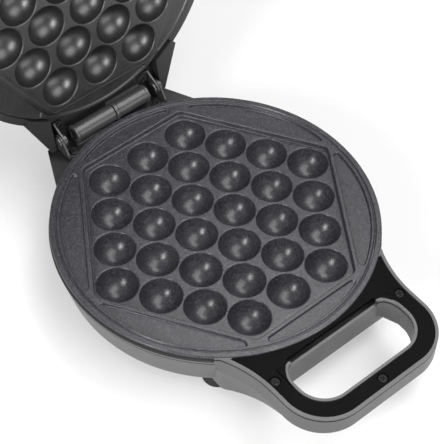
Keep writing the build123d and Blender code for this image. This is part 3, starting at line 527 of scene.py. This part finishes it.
# Colour, roughness, grain in mm, spread of its tones, specular level, metallic share
METALS = {
    "black_screws": ((0.006, 0.006, 0.006), 0.4, 0.3, 0.2, 0.15, 0.0),
    "zinc_screws": ((0.55, 0.55, 0.53), 0.35, 0.3, 0.1, 0.5, 1.0),
    "heater_tube": ((0.30, 0.28, 0.25), 0.45, 0.5, 0.15, 0.5, 1.0),
    "pan_sheet": ((0.62, 0.62, 0.62), 0.32, 0.8, 0.06, 0.5, 1.0),
    "thermostat_metal": ((0.5, 0.5, 0.5), 0.3, 0.5, 0.08, 0.5, 1.0),
    "bracket_metal": ((0.035, 0.035, 0.036), 0.36, 0.4, 0.2, 0.5, 0.4),
    "pin_metal": ((0.06, 0.06, 0.06), 0.34, 0.3, 0.15, 0.5, 0.6),
}

# Colour and roughness
LENSES = {
    "red_lens": ((0.45, 0.02, 0.015), 0.12),
    "green_lens": ((0.03, 0.30, 0.06), 0.12),
    "lamp_glass": ((0.75, 0.72, 0.65), 0.08),
}

# Colour, roughness and specular level: the lid's copy of the one coating is darker as painted
# shade, and has broader highlights
COATINGS = {
    "plate_coating": ((0.022, 0.0213, 0.0255), 0.29, 0.36),
    "lid_plate_coating_painted_shade": ((0.007, 0.007, 0.0075), 0.36, 0.65),
}

finishes = {name: satin_plastic(name, *values) for name, values in PLASTICS.items()}
finishes |= {name: metal(name, *values) for name, values in METALS.items()}
finishes |= {name: clear_plastic(name, *values) for name, values in LENSES.items()}
finishes |= {name: mould_coating(name, *values) for name, values in COATINGS.items()}
# Painted shade on the shells: darker towards the hinge deck, and a black line where a groove runs
# round the wall
painted_shade_at_hinge(finishes["shell_plastic"])
painted_seam_shade(finishes["shell_plastic"])

SLOT_NODES = {
    "shell_plastic": ("base_housing", "lid_housing"),
    "ring_plastic": ("base_ring", "lid_ring"),
    "cover_plastic": ("base_handle_cover", "lid_handle_cover"),
    "zinc_screws": ("lower_plate_screws", "upper_plate_screws", "foot_screws"),
    "heater_tube": ("lower_heating_element", "upper_heating_element"),
    "pan_sheet": ("lower_reflector", "upper_reflector"),
    "thermostat_metal": ("thermostat",),
    "fuse_sleeve": ("thermal_fuse",),
    "terminal_plastic": ("terminal_block",),
    "foot_rubber": ("feet",),
    "bush_plastic": ("cord_bush",),
    "bracket_metal": (
        "base_bracket_left",
        "base_bracket_right",
        "lid_bracket_left",
        "lid_bracket_right",
    ),
    "pin_metal": ("hinge_pins",),
    "tube_plastic": ("base_wire_tube", "lid_wire_tube"),
    "sleeve_plastic": ("wire_sleeve",),
    "red_lens": ("power_lens",),
    "green_lens": ("ready_lens",),
    "lamp_glass": ("indicator_lamps",),
}
for slot, names in SLOT_NODES.items():
    for node in names:
        nodes[node].data.materials.clear()
        nodes[node].data.materials.append(finishes[slot])


def eased(node, width):
    """A node whose sharp edges are rounded by width millimetres."""
    weld = node.modifiers.new("weld", "WELD")
    weld.merge_threshold = NODE_WELD * MM
    flat = node.modifiers.new("flat", "DECIMATE")
    flat.decimate_type = "DISSOLVE"
    flat.angle_limit = FLAT_TURN
    round_edges = node.modifiers.new("round_edges", "BEVEL")
    round_edges.width = width * MM
    round_edges.segments = 2
    round_edges.limit_method = "ANGLE"
    round_edges.angle_limit = SHARP_TURN
    node.modifiers.new("level", "WEIGHTED_NORMAL")


# How wide the sharp edges of these nodes are rounded, in millimetres
EASED_EDGES = {
    "housing": 0.5,
    "handle_cover": 0.25,
    "bracket_left": 0.2,
    "bracket_right": 0.2,
    "wire_tube": 0.3,
}
for piece, width in EASED_EDGES.items():
    eased(nodes["base_" + piece], width)
    eased(nodes["lid_" + piece], width)


# The plates


def smooth_step(share):
    """Nought below nought, one above one, and a soft S between."""
    share = np.clip(share, 0.0, 1.0)
    return share * share * (3 - 2 * share)


def soft_ramp(place, length, ease):
    """Level, then rising one for one over the length, then level, each bend a parabola: the
    bend at the start less the same bend moved on by the length."""
    start, end = [
        np.where(at > ease, at, np.maximum(at + ease, 0) ** 2 / (4 * ease))
        for at in (place, place - length)
    ]
    return start - end


def crossings(normals, reach, first, second):
    """Where each of the first lines crosses the second one beside it. A line is every point
    whose share along the line's normal is its reach."""
    pairs = np.stack([normals[first], normals[second]], axis=1)
    distances = np.stack([reach[first], reach[second]], axis=1)
    return np.linalg.solve(pairs, distances[..., None])[..., 0]


HEX_CORNERS = np.array(
    [
        (TRAY_TIP_X, 0.0),
        (TRAY_CORNER_X, TRAY_END_Y),
        (-TRAY_CORNER_X, TRAY_END_Y),
        (-TRAY_TIP_X, 0.0),
        (-TRAY_CORNER_X, -TRAY_END_Y),
        (TRAY_CORNER_X, -TRAY_END_Y),
    ]
)
HEX_ALONG = np.roll(HEX_CORNERS, -1, axis=0) - HEX_CORNERS
HEX_NORMALS = np.stack([HEX_ALONG[:, 1], -HEX_ALONG[:, 0]], axis=1)
HEX_NORMALS /= np.linalg.norm(HEX_NORMALS, axis=1)[:, None]
HEX_REACH = (HEX_CORNERS * HEX_NORMALS).sum(axis=1)
INNER_REACH = HEX_REACH - TRAY_CORNER_RADIUS
INNER_CORNERS = crossings(HEX_NORMALS, INNER_REACH, np.arange(6), np.roll(np.arange(6), -1))

BUBBLE_PLACES = np.array(
    [
        ((column - (count - 1) / 2) * PITCH, ((len(ROW_COUNTS) - 1) / 2 - row) * ROW_PITCH)
        for row, count in enumerate(ROW_COUNTS)
        for column in range(count)
    ]
)


def plate_turns():
    """Directions round the plate: fine steps for a few degrees either side of each corner of
    the tray, finer ones where a moat ends, and wide ones between."""
    corners = np.arctan2(HEX_CORNERS[:, 1], HEX_CORNERS[:, 0]) % (2 * np.pi)
    corners = np.append(corners, 2 * np.pi)
    land = np.arange(0, LAND_TURN, LAND_STEP)
    moat = np.arange(LAND_TURN, MOAT_TURN, MOAT_STEP)
    turns = []
    for first, last in zip(corners[:-1], corners[1:]):
        wide = np.linspace(np.radians(MOAT_TURN), (last - first) / 2, WIDE_STEPS)
        rising = np.concatenate([np.radians(np.concatenate([land, moat])), wide])
        turns += [first + rising[:-1], last - rising[::-1][:-1]]
    return np.concatenate(turns)


TURNS = plate_turns()


def side_levels(x, y, reach):
    """How far outside each of six side lines a point lies."""
    return x[..., None] * HEX_NORMALS[:, 0] + y[..., None] * HEX_NORMALS[:, 1] - reach


def tray_distance(x, y):
    """Distance to the tray's outline with rounded corners, less than nought inside it: the
    distance to the hexagon moved in by the corner radius, less that radius."""
    start = np.roll(INNER_CORNERS, 1, axis=0)
    along = INNER_CORNERS - start
    to_x, to_y = x[..., None] - start[:, 0], y[..., None] - start[:, 1]
    share = (to_x * along[:, 0] + to_y * along[:, 1]) / (along**2).sum(axis=1)
    share = np.clip(share, 0, 1)
    away = np.hypot(to_x - share * along[:, 0], to_y - share * along[:, 1]).min(axis=-1)
    outside = side_levels(x, y, INNER_REACH).max(axis=-1) > 0
    return np.where(outside, away, -away) - TRAY_CORNER_RADIUS


def ray_to_tray(x0, y0, turn, inset):
    """How far a ray runs from a point inside the tray to the tray's outline moved in by inset,
    found by halving."""
    near, far = np.zeros_like(turn), np.full_like(turn, 2 * TRAY_TIP_X)
    for _ in range(HALVINGS):
        middle = (near + far) / 2
        inside = tray_distance(x0 + middle * np.cos(turn), y0 + middle * np.sin(turn)) < -inset
        near, far = np.where(inside, middle, near), np.where(inside, far, middle)
    return near


def ray_to_hexagon(margin):
    """How far a ray in each of the plate's directions runs from the middle to the sharp hexagon
    moved out by the margin: the nearest of the sides that it faces."""
    facing = np.stack([np.cos(TURNS), np.sin(TURNS)], axis=1) @ HEX_NORMALS.T
    reach = (HEX_REACH + margin) / np.maximum(facing, LEAST_FACING)
    return np.where(facing > LEAST_FACING, reach, np.inf).min(axis=1)


def moat_height(x, y, margin, depth, corner_radius):
    """The shallow moats: a soft wall all round the region outside the hexagon moved out by the
    margin, inside the rim and away from the six lands, with rounded corners."""
    side = side_levels(x, y, HEX_REACH).max(axis=-1) - margin
    rim = PLATE_RADIUS - RIM_WIDTH - np.hypot(x, y)
    directions = HEX_CORNERS[:3] / np.linalg.norm(HEX_CORNERS[:3], axis=1)[:, None]
    across = np.abs(x[..., None] * directions[:, 1] - y[..., None] * directions[:, 0])
    land = across.min(axis=-1) - MOAT_LAND / 2
    short = sum(np.maximum(corner_radius - gap, 0) ** 2 for gap in (side, rim, land))
    return -depth * smooth_step((corner_radius - np.sqrt(short)) / MOAT_WALL)


def quarter(place):
    """Rise of a quarter circle of the fillet's radius at a place along it: the radius less the
    root of its square less the place's square. It is level before, and stays up after."""
    along = np.clip(place, 0, WALL_FILLET)
    return WALL_FILLET - np.sqrt(np.maximum(WALL_FILLET**2 - along**2, 0))


def lower_relief(x, y):
    """Height of the lower plate round its tray: a steep wall with a hollow foot and a round
    crest, then the level ridge, and the moats."""
    away = tray_distance(x, y)
    foot = quarter(away - WALL_START + WALL_FILLET)
    crest_end = WALL_START + 2 * WALL_FILLET
    crest = quarter(crest_end - away)
    climb = np.clip((away - WALL_START) / WALL_FILLET, 0, 1)
    wall = (-TRAY_DEPTH - FLOOR_LAP + foot) * (1 - climb) - crest * climb
    moats = moat_height(x, y, RIDGE_WIDTH, MOAT_DEPTH, MOAT_CORNER_RADIUS)
    return np.where(away < crest_end, wall, moats)


def upper_relief(x, y):
    """Height of the upper plate round its half balls: the field's edge, its sloping side, the
    flange behind it, and the moats."""
    away = tray_distance(x, y)
    width = FIELD_FOOT_MARGIN - FIELD_MARGIN
    side = FIELD_RISE / width * soft_ramp(away - FIELD_MARGIN, width, FIELD_EASE)
    lap = FLOOR_LAP * (1 - smooth_step((away - LAP_START) / LAP_WIDTH))
    moats = moat_height(x, y, FIELD_FOOT_MARGIN, UPPER_MOAT_DEPTH, UPPER_MOAT_CORNER_RADIUS)
    return moats - side - lap


def between(first, last, count):
    """Evenly spaced rings between two rings, without either."""
    return first + np.linspace(0, 1, count + 2)[1:-1, None] * (last - first)


def rings(reach, z):
    """Points in each of the plate's directions, each at its reach from the centre and its
    height."""
    return np.stack([reach * np.cos(TURNS), reach * np.sin(TURNS), z + 0 * TURNS], axis=-1)


def plate_reaches(offsets, margin, outer):
    """How far out each ring of a plate's upper side runs: close at the tray's outline, at both
    walls of a moat, at the groove of a plate whose flange reaches further, and at the edge."""
    inner = ray_to_tray(0.0, 0.0, TURNS, 0.0) + offsets[:, None]
    rim = np.full_like(TURNS, PLATE_RADIUS - RIM_WIDTH)
    foot = np.minimum(ray_to_hexagon(margin), rim - LEAST_MOAT)
    zone = np.minimum(MOAT_ZONE, MOAT_ZONE_SHARE * (rim - foot))
    close = MOAT_RINGS[:, None] * zone
    steps = [inner, between(inner[-1], foot, RIDGE_STEPS)]
    steps += [foot + close, between(foot + zone, rim - zone, MOAT_STEPS), rim - close[::-1]]
    if outer > PLATE_RADIUS:
        steps.append(PLATE_RADIUS + GROOVE_RINGS[:, None] + 0 * TURNS)
    steps.append(outer - EDGE_RINGS[:, None] + 0 * TURNS)
    return np.concatenate(steps)


def plate_body(relief, offsets, margin, drop, flange=0.0):
    """A plate from the edge of its floor over the relief to the rim, which is rounded by a
    quarter circle, down the outside and under the slab to a pole. A plate with a flange goes
    on beyond a fine groove, and back beneath it."""
    outer = PLATE_RADIUS + flange
    reach = plate_reaches(offsets, margin, outer)
    rolled = np.clip(reach - (outer - RIM_ROUND), 0, RIM_ROUND)
    height = relief(reach * np.cos(TURNS), reach * np.sin(TURNS))
    height += np.sqrt(np.maximum(RIM_ROUND**2 - rolled**2, 0)) - RIM_ROUND
    side_top = MOULD_Z - drop - RIM_ROUND
    under = []
    if flange:
        groove = (GROOVE_HALF - np.abs(reach - GROOVE_RADIUS)) / GROOVE_WALL
        height -= GROOVE_DEPTH * smooth_step(groove)
        side_top = MOULD_Z - FLANGE_DEPTH
        under += [rings(outer, side_top + CHAMFER), rings(outer - CHAMFER, side_top)]
        under += [rings(PLATE_RADIUS + CHAMFER, side_top)]
    skirt_z = MOULD_Z - SKIRT_DEPTH
    slab = ray_to_hexagon(SLAB_MARGIN)
    narrowing = (SLAB_DEPTH - SKIRT_DEPTH) * np.tan(SLAB_DRAFT)
    under += [
        rings(PLATE_RADIUS, side_top - CHAMFER),
        rings(PLATE_RADIUS, skirt_z + CHAMFER),
        rings(PLATE_RADIUS - CHAMFER, skirt_z),
        rings(slab + SLAB_CHAMFER, skirt_z),
        rings(slab, skirt_z - SLAB_CHAMFER),
        rings(ray_to_hexagon(SLAB_MARGIN - narrowing), MOULD_Z - SLAB_DEPTH),
        rings(0, MOULD_Z - SLAB_DEPTH),
    ]
    return np.concatenate([rings(reach, MOULD_Z + height), np.array(under)])


def cell_edge(x0, y0, inset):
    """Points round a half ball's share of the floor, evenly spaced along the sides of the
    polygon between the lines midway to its neighbours and the tray's sides moved in by inset,
    so that two shares meet in the same points. The tray's corners are rounded."""
    gap = BUBBLE_PLACES - (x0, y0)
    far = np.hypot(*gap.T)
    near = (far > 0) & (far < NEIGHBOUR_REACH)
    normals = np.concatenate([gap[near] / far[near, None], HEX_NORMALS])
    reach = np.concatenate([far[near] / 2, HEX_REACH - inset - HEX_NORMALS @ (x0, y0)])
    one, two = np.triu_indices(len(reach), 1)
    hair = 1e-3
    slant = normals[one, 0] * normals[two, 1] - normals[one, 1] * normals[two, 0]
    crossed = np.abs(slant) > hair
    corners = crossings(normals, reach, one[crossed], two[crossed])
    corners = corners[(corners @ normals.T <= reach + hair * hair).all(axis=1)]
    corners = corners[np.argsort(np.arctan2(corners[:, 1], corners[:, 0]))]
    corners = corners[np.hypot(*(corners - np.roll(corners, 1, axis=0)).T) > hair]
    share = np.linspace(0, 1, SIDE_STEPS, endpoint=False)[:, None]
    sides = corners[:, None] + share * (np.roll(corners, -1, axis=0) - corners)[:, None]
    sides = sides.reshape(-1, 2)
    turn = np.arctan2(sides[:, 1], sides[:, 0])
    return turn, np.minimum(np.hypot(*sides.T), ray_to_tray(x0, y0, turn, inset))


def bubble_cells(floor_z, inset):
    """Each half ball with its share of the floor: a profile turned round its centre, from the
    pole up the ball, over a rounded lip, and out to the edge of its share."""
    lip_radius = BUBBLE_RADIUS + BUBBLE_LIP * (1 - np.cos(LIP_TURN))
    ball_radius = np.append(BUBBLE_RADIUS * np.sin(BALL_TURN), lip_radius)
    ball_z = np.append(-BUBBLE_RADIUS * np.cos(BALL_TURN), BUBBLE_LIP * (np.sin(LIP_TURN) - 1))
    cells = []
    for x0, y0 in BUBBLE_PLACES:
        turn, reach = cell_edge(x0, y0, inset)
        outward = ball_radius[-1] + FLOOR_RINGS * (reach - ball_radius[-1])
        radius = np.concatenate([ball_radius[:, None] + 0 * turn, outward])
        height = np.append(ball_z, 0 * FLOOR_RINGS)[:, None] + 0 * turn
        x, y = x0 + radius * np.cos(turn), y0 + radius * np.sin(turn)
        cells.append(np.stack([x, y, floor_z + height], axis=-1))
    return cells


lower = [plate_body(lower_relief, TRAY_RINGS, RIDGE_WIDTH, 0.0, FLANGE_WIDTH)]
lower += bubble_cells(MOULD_Z - TRAY_DEPTH, LOWER_INSET)
surface("lower_mould_plate", lower, part_frame, "base", "plate_coating", ["lower_plate"])
upper = [plate_body(upper_relief, FIELD_RINGS, FIELD_FOOT_MARGIN, FIELD_RISE)]
upper += bubble_cells(MOULD_Z, UPPER_INSET)
# The lid's plate takes a darker copy of the coating: the darker colour is painted shade
finish = "lid_plate_coating_painted_shade"
surface("upper_mould_plate", upper, lid_frame, "lid", "plate_coating", ["upper_plate"], finish)


# Trim: rounded rear corners of the finger openings, and collars on the wire tubes


def bar_along(near, far, low_z, high_z):
    """A closed bar between two curves in plan, with a rounded top: its section goes under, up
    the far side, over and down the near side, and shrinks to a point at either end. The
    rounding is narrower where the bar is."""
    inward = BAR_EDGE * (1 - np.cos(QUARTER_BEND))
    rise = high_z - BAR_EDGE * (1 - np.sin(QUARTER_BEND))
    wide = np.linalg.norm(far - near, axis=1)
    step = (far - near) / np.maximum(wide, LEAST_WIDTH)[:, None]
    ease = np.minimum(1.0, BAR_EDGE_SHARE * wide / BAR_EDGE)

    def column(curve, shift, z):
        plan = curve + step * (shift * ease)[:, None]
        return np.column_stack([plan, np.full(len(plan), z)])

    loop = [column(near, 0.0, low_z), column(far, 0.0, low_z)]
    loop += [column(far, -shift, z) for shift, z in zip(inward, rise)]
    loop += [column(near, shift, z) for shift, z in zip(inward[::-1], rise[::-1])]
    rows = np.stack(loop, axis=1)
    ends = [np.broadcast_to(rows[end].mean(axis=0), rows[:1].shape) for end in (0, -1)]
    return np.concatenate([ends[0], rows, ends[1]])


def grip_corners(lip_z):
    """The two rear corners of a finger opening as quarter ellipses, in grey and in black: the
    grey lip follows the ellipse, and black cover fills the square corner outside it."""
    turn = np.linspace(0.0, np.pi / 2, CORNER_STEPS)
    wave = np.column_stack([np.cos(turn), np.sin(turn)])
    centre = np.array([GRIP_HALF, -GRIP_REAR]) - CORNER_REACH
    opening, lip = wave * CORNER_REACH, wave * (CORNER_REACH + GRIP_LIP)
    wall = np.minimum(lip, CORNER_REACH + GRIP_WALL)
    square = CORNER_REACH + GRIP_LIP + FILL_LAP
    corner = lip * np.min(square / np.maximum(lip, LEAST_WIDTH), axis=1)[:, None]
    grey = bar_along(centre + opening, centre + wall, lip_z - GRIP_DEPTH, lip_z)
    black = bar_along(centre + lip, centre + corner, lip_z - FILL_DEPTH, lip_z + FILL_RISE)
    return [grey, grey * (-1, 1, 1)], [black, black * (-1, 1, 1)]


def collar(first_x, last_x):
    """A ring round a wire tube: a flat band with rounded edges turned about the hinge line, and
    back inside the tube's wall."""
    inward = COLLAR_EDGE * (1 - np.sin(QUARTER_BEND))
    band = COLLAR_RADIUS - COLLAR_EDGE * (1 - np.cos(QUARTER_BEND))
    root = [TUBE_RADIUS - COLLAR_ROOT]
    x = np.concatenate([[first_x], first_x + inward[::-1], last_x - inward, [last_x, first_x]])
    radius = np.concatenate([root, band[::-1], band, root, root])[:, None]
    turn = np.linspace(0, 2 * np.pi, COLLAR_STEPS, endpoint=False)
    y, z = HINGE_Y + radius * np.cos(turn), HINGE_Z + radius * np.sin(turn)
    return np.stack([x[:, None] + 0 * turn, y, z], axis=-1)


for body, place, lip_z in (("base", part_frame, BASE_LIP_Z), ("lid", lid_frame, LID_LIP_Z)):
    grey, black = grip_corners(lip_z)
    surface(body + "_grip_corners", grey, place, body, "shell_plastic", [])
    surface(body + "_cover_corners", black, place, body, "cover_plastic", [])
collars = [collar(*ends) for ends in LID_COLLARS]
surface("base_tube_collar", [collar(*BASE_COLLAR)], part_frame, "base", "tube_plastic", [])
surface("lid_tube_collars", collars, part_frame, "lid", "tube_plastic", [])


# Screw heads with a cross recess


def screw_heads(places, seat_z, radius, height, slants):
    """Low domed heads, each a polar grid: its height is level at the middle, rolls over at the
    edge as part of an ellipse, and drops by a cross of two arms turned by the slant. Rows go
    out, down the side and back beneath."""
    turn = np.linspace(0, 2 * np.pi, HEAD_STEPS, endpoint=False)
    out = HEAD_RINGS[:, None] * radius
    roll = np.clip((HEAD_RINGS - ROLL_START) / (1 - ROLL_START), 0, 1)[:, None]
    dome = height * (1 - EDGE_LOSS * (1 - np.sqrt(1 - roll**2 * ROLL_FLATNESS)))
    arm, reach, wall = ARM_HALF * radius, ARM_REACH * radius, ARM_WALL * radius
    heads = []
    for (x0, y0), slant in zip(places, slants):
        u, v = out * np.cos(turn - slant), out * np.sin(turn - slant)
        one = np.minimum(arm - np.abs(u), reach - np.abs(v))
        two = np.minimum(arm - np.abs(v), reach - np.abs(u))
        depth = smooth_step(np.maximum(one, two) / wall + ARM_LAP)
        depth *= CROSS_LOSS * (1 - CROSS_RISE * (np.hypot(u, v) / reach) ** 2)
        rows = np.concatenate([out, out[-1:], 0 * out[:1]])
        z = np.concatenate([dome - height * depth, np.zeros((2, len(turn)))])
        head = [x0 + rows * np.cos(turn), y0 + rows * np.sin(turn), seat_z + z]
        heads.append(np.stack(head, axis=-1))
    return heads


for body, place, lip_z in (("base", part_frame, BASE_LIP_Z), ("lid", lid_frame, LID_LIP_Z)):
    name, replaced = body + "_cover_screw_heads", [body + "_cover_screws"]
    heads = screw_heads(COVER_SCREWS, lip_z - COVER_SEAT_DROP, *COVER_HEAD, COVER_SLANTS)
    surface(name, heads, place, body, "black_screws", replaced)
for body, place, seat_z, slants in (
    ("base", part_frame, BASE_BRACKET_SEAT, BASE_BRACKET_SLANTS),
    ("lid", lid_frame, LID_BRACKET_SEAT, LID_BRACKET_SLANTS),
):
    name, replaced = body + "_bracket_screw_heads", [body + "_bracket_screws"]
    heads = screw_heads(BRACKET_SCREWS, seat_z, *BRACKET_HEAD, slants)
    surface(name, heads, place, body, "black_screws", replaced)


# Floor, lamps, world and camera


def to_the_eye(tree, lit, seen, output):
    """Shows the seen shader to camera, glossy and transmission rays, and the lit one to the
    others: a mix by the greatest of the three kinds' shares."""
    rays = tree.nodes.new("ShaderNodeLightPath")
    share = rays.outputs["Is Camera Ray"]
    for kind in ("Is Glossy Ray", "Is Transmission Ray"):
        share = arithmetic(tree, "MAXIMUM", share, rays.outputs[kind])
    pick = tree.nodes.new("ShaderNodeMixShader")
    tree.links.new(share, pick.inputs[0])
    tree.links.new(lit.outputs[0], pick.inputs[1])
    tree.links.new(seen.outputs[0], pick.inputs[2])
    tree.links.new(pick.outputs[0], tree.nodes[output].inputs["Surface"])


def floor_finish():
    """To the eye the floor glows grey near the maker and white further off, and the rest of its
    white is light it catches, so the maker's shadow shows on it and nothing else does."""
    material = bpy.data.materials.new("floor")
    material.use_nodes = True
    tree = material.node_tree
    tree.nodes.remove(tree.nodes["Principled BSDF"])
    place = tree.nodes.new("ShaderNodeTexCoord")
    away = tree.nodes.new("ShaderNodeVectorMath")
    away.operation = "LENGTH"
    tree.links.new(place.outputs["Object"], away.inputs[0])
    glow = tree.nodes.new("ShaderNodeEmission")
    strength = grey_ramp(tree, away.outputs["Value"], GLOW_PLACES, GLOW_STRENGTHS)
    tree.links.new(strength, glow.inputs["Strength"])
    catch = tree.nodes.new("ShaderNodeBsdfDiffuse")
    catch.inputs["Color"].default_value = (FLOOR_CATCH, FLOOR_CATCH, FLOOR_CATCH, 1.0)
    seen = tree.nodes.new("ShaderNodeAddShader")
    tree.links.new(glow.outputs[0], seen.inputs[0])
    tree.links.new(catch.outputs[0], seen.inputs[1])
    matt = tree.nodes.new("ShaderNodeBsdfDiffuse")
    matt.inputs["Color"].default_value = (FLOOR_MATT, FLOOR_MATT, FLOOR_MATT, 1.0)
    to_the_eye(tree, matt, seen, "Material Output")
    return material


def floor():
    """A pale square floor."""
    mesh = bpy.data.meshes.new("floor")
    sides = ((-1, -1), (1, -1), (1, 1), (-1, 1))
    mesh.from_pydata([(x * FLOOR_REACH, y * FLOOR_REACH, 0) for x, y in sides], [], [(0, 1, 2, 3)])
    piece = bpy.data.objects.new("floor", mesh)
    bpy.context.scene.collection.objects.link(piece)
    mesh.materials.append(floor_finish())


def surroundings():
    """A grey studio for soft light, seen as white."""
    world = bpy.data.worlds.new("studio")
    bpy.context.scene.world = world
    world.use_nodes = True
    tree = world.node_tree
    soft = tree.nodes["Background"]
    soft.inputs["Color"].default_value = (1.0, 1.0, 1.0, 1.0)
    soft.inputs["Strength"].default_value = SOFT_LIGHT
    white = tree.nodes.new("ShaderNodeBackground")
    white.inputs["Strength"].default_value = 1.0
    to_the_eye(tree, soft, white, "World Output")


def camera():
    """The viewpoint: its axes are worked out from the turn and the rise, and the two across the
    view are then turned by the roll."""
    rise, roll = CAMERA_RISE, CAMERA_ROLL
    right = np.array([np.cos(CAMERA_TURN), np.sin(CAMERA_TURN), 0.0])
    front = np.array([np.sin(CAMERA_TURN), -np.cos(CAMERA_TURN), 0.0])
    back = front * np.cos(rise) + np.array([0.0, 0.0, np.sin(rise)])
    above = np.cross(back, right)
    axes = np.eye(4)
    axes[:3, 0] = right * np.cos(roll) + above * np.sin(roll)
    axes[:3, 1] = above * np.cos(roll) - right * np.sin(roll)
    axes[:3, 2] = back
    axes[:3, 3] = part_frame(CAMERA_AIM + CAMERA_DISTANCE * back)
    data = bpy.data.cameras.new("camera")
    data.lens = FOCAL_PIXELS * SENSOR / PICTURE_PIXELS
    data.clip_start, data.clip_end = CAMERA_CLIP
    piece = bpy.data.objects.new("camera", data)
    piece.matrix_world = Matrix(axes.tolist())
    bpy.context.scene.collection.objects.link(piece)
    bpy.context.scene.camera = piece


def lamp(name, place, aim, width, depth, watts):
    """A rectangular soft light at a place in millimetres that faces the aim."""
    data = bpy.data.lights.new(name, "AREA")
    data.shape = "RECTANGLE"
    data.size, data.size_y = width * MM, depth * MM
    data.energy = watts
    piece = bpy.data.objects.new(name, data)
    piece.location = Vector(place) * MM
    towards = (Vector(aim) - Vector(place)).normalized()
    piece.rotation_euler = towards.to_track_quat("-Z", "Y").to_euler()
    bpy.context.scene.collection.objects.link(piece)


floor()
surroundings()
camera()
for name, settings in LAMPS.items():
    lamp(name, *settings)
bpy.context.scene.view_settings.view_transform = "Standard"
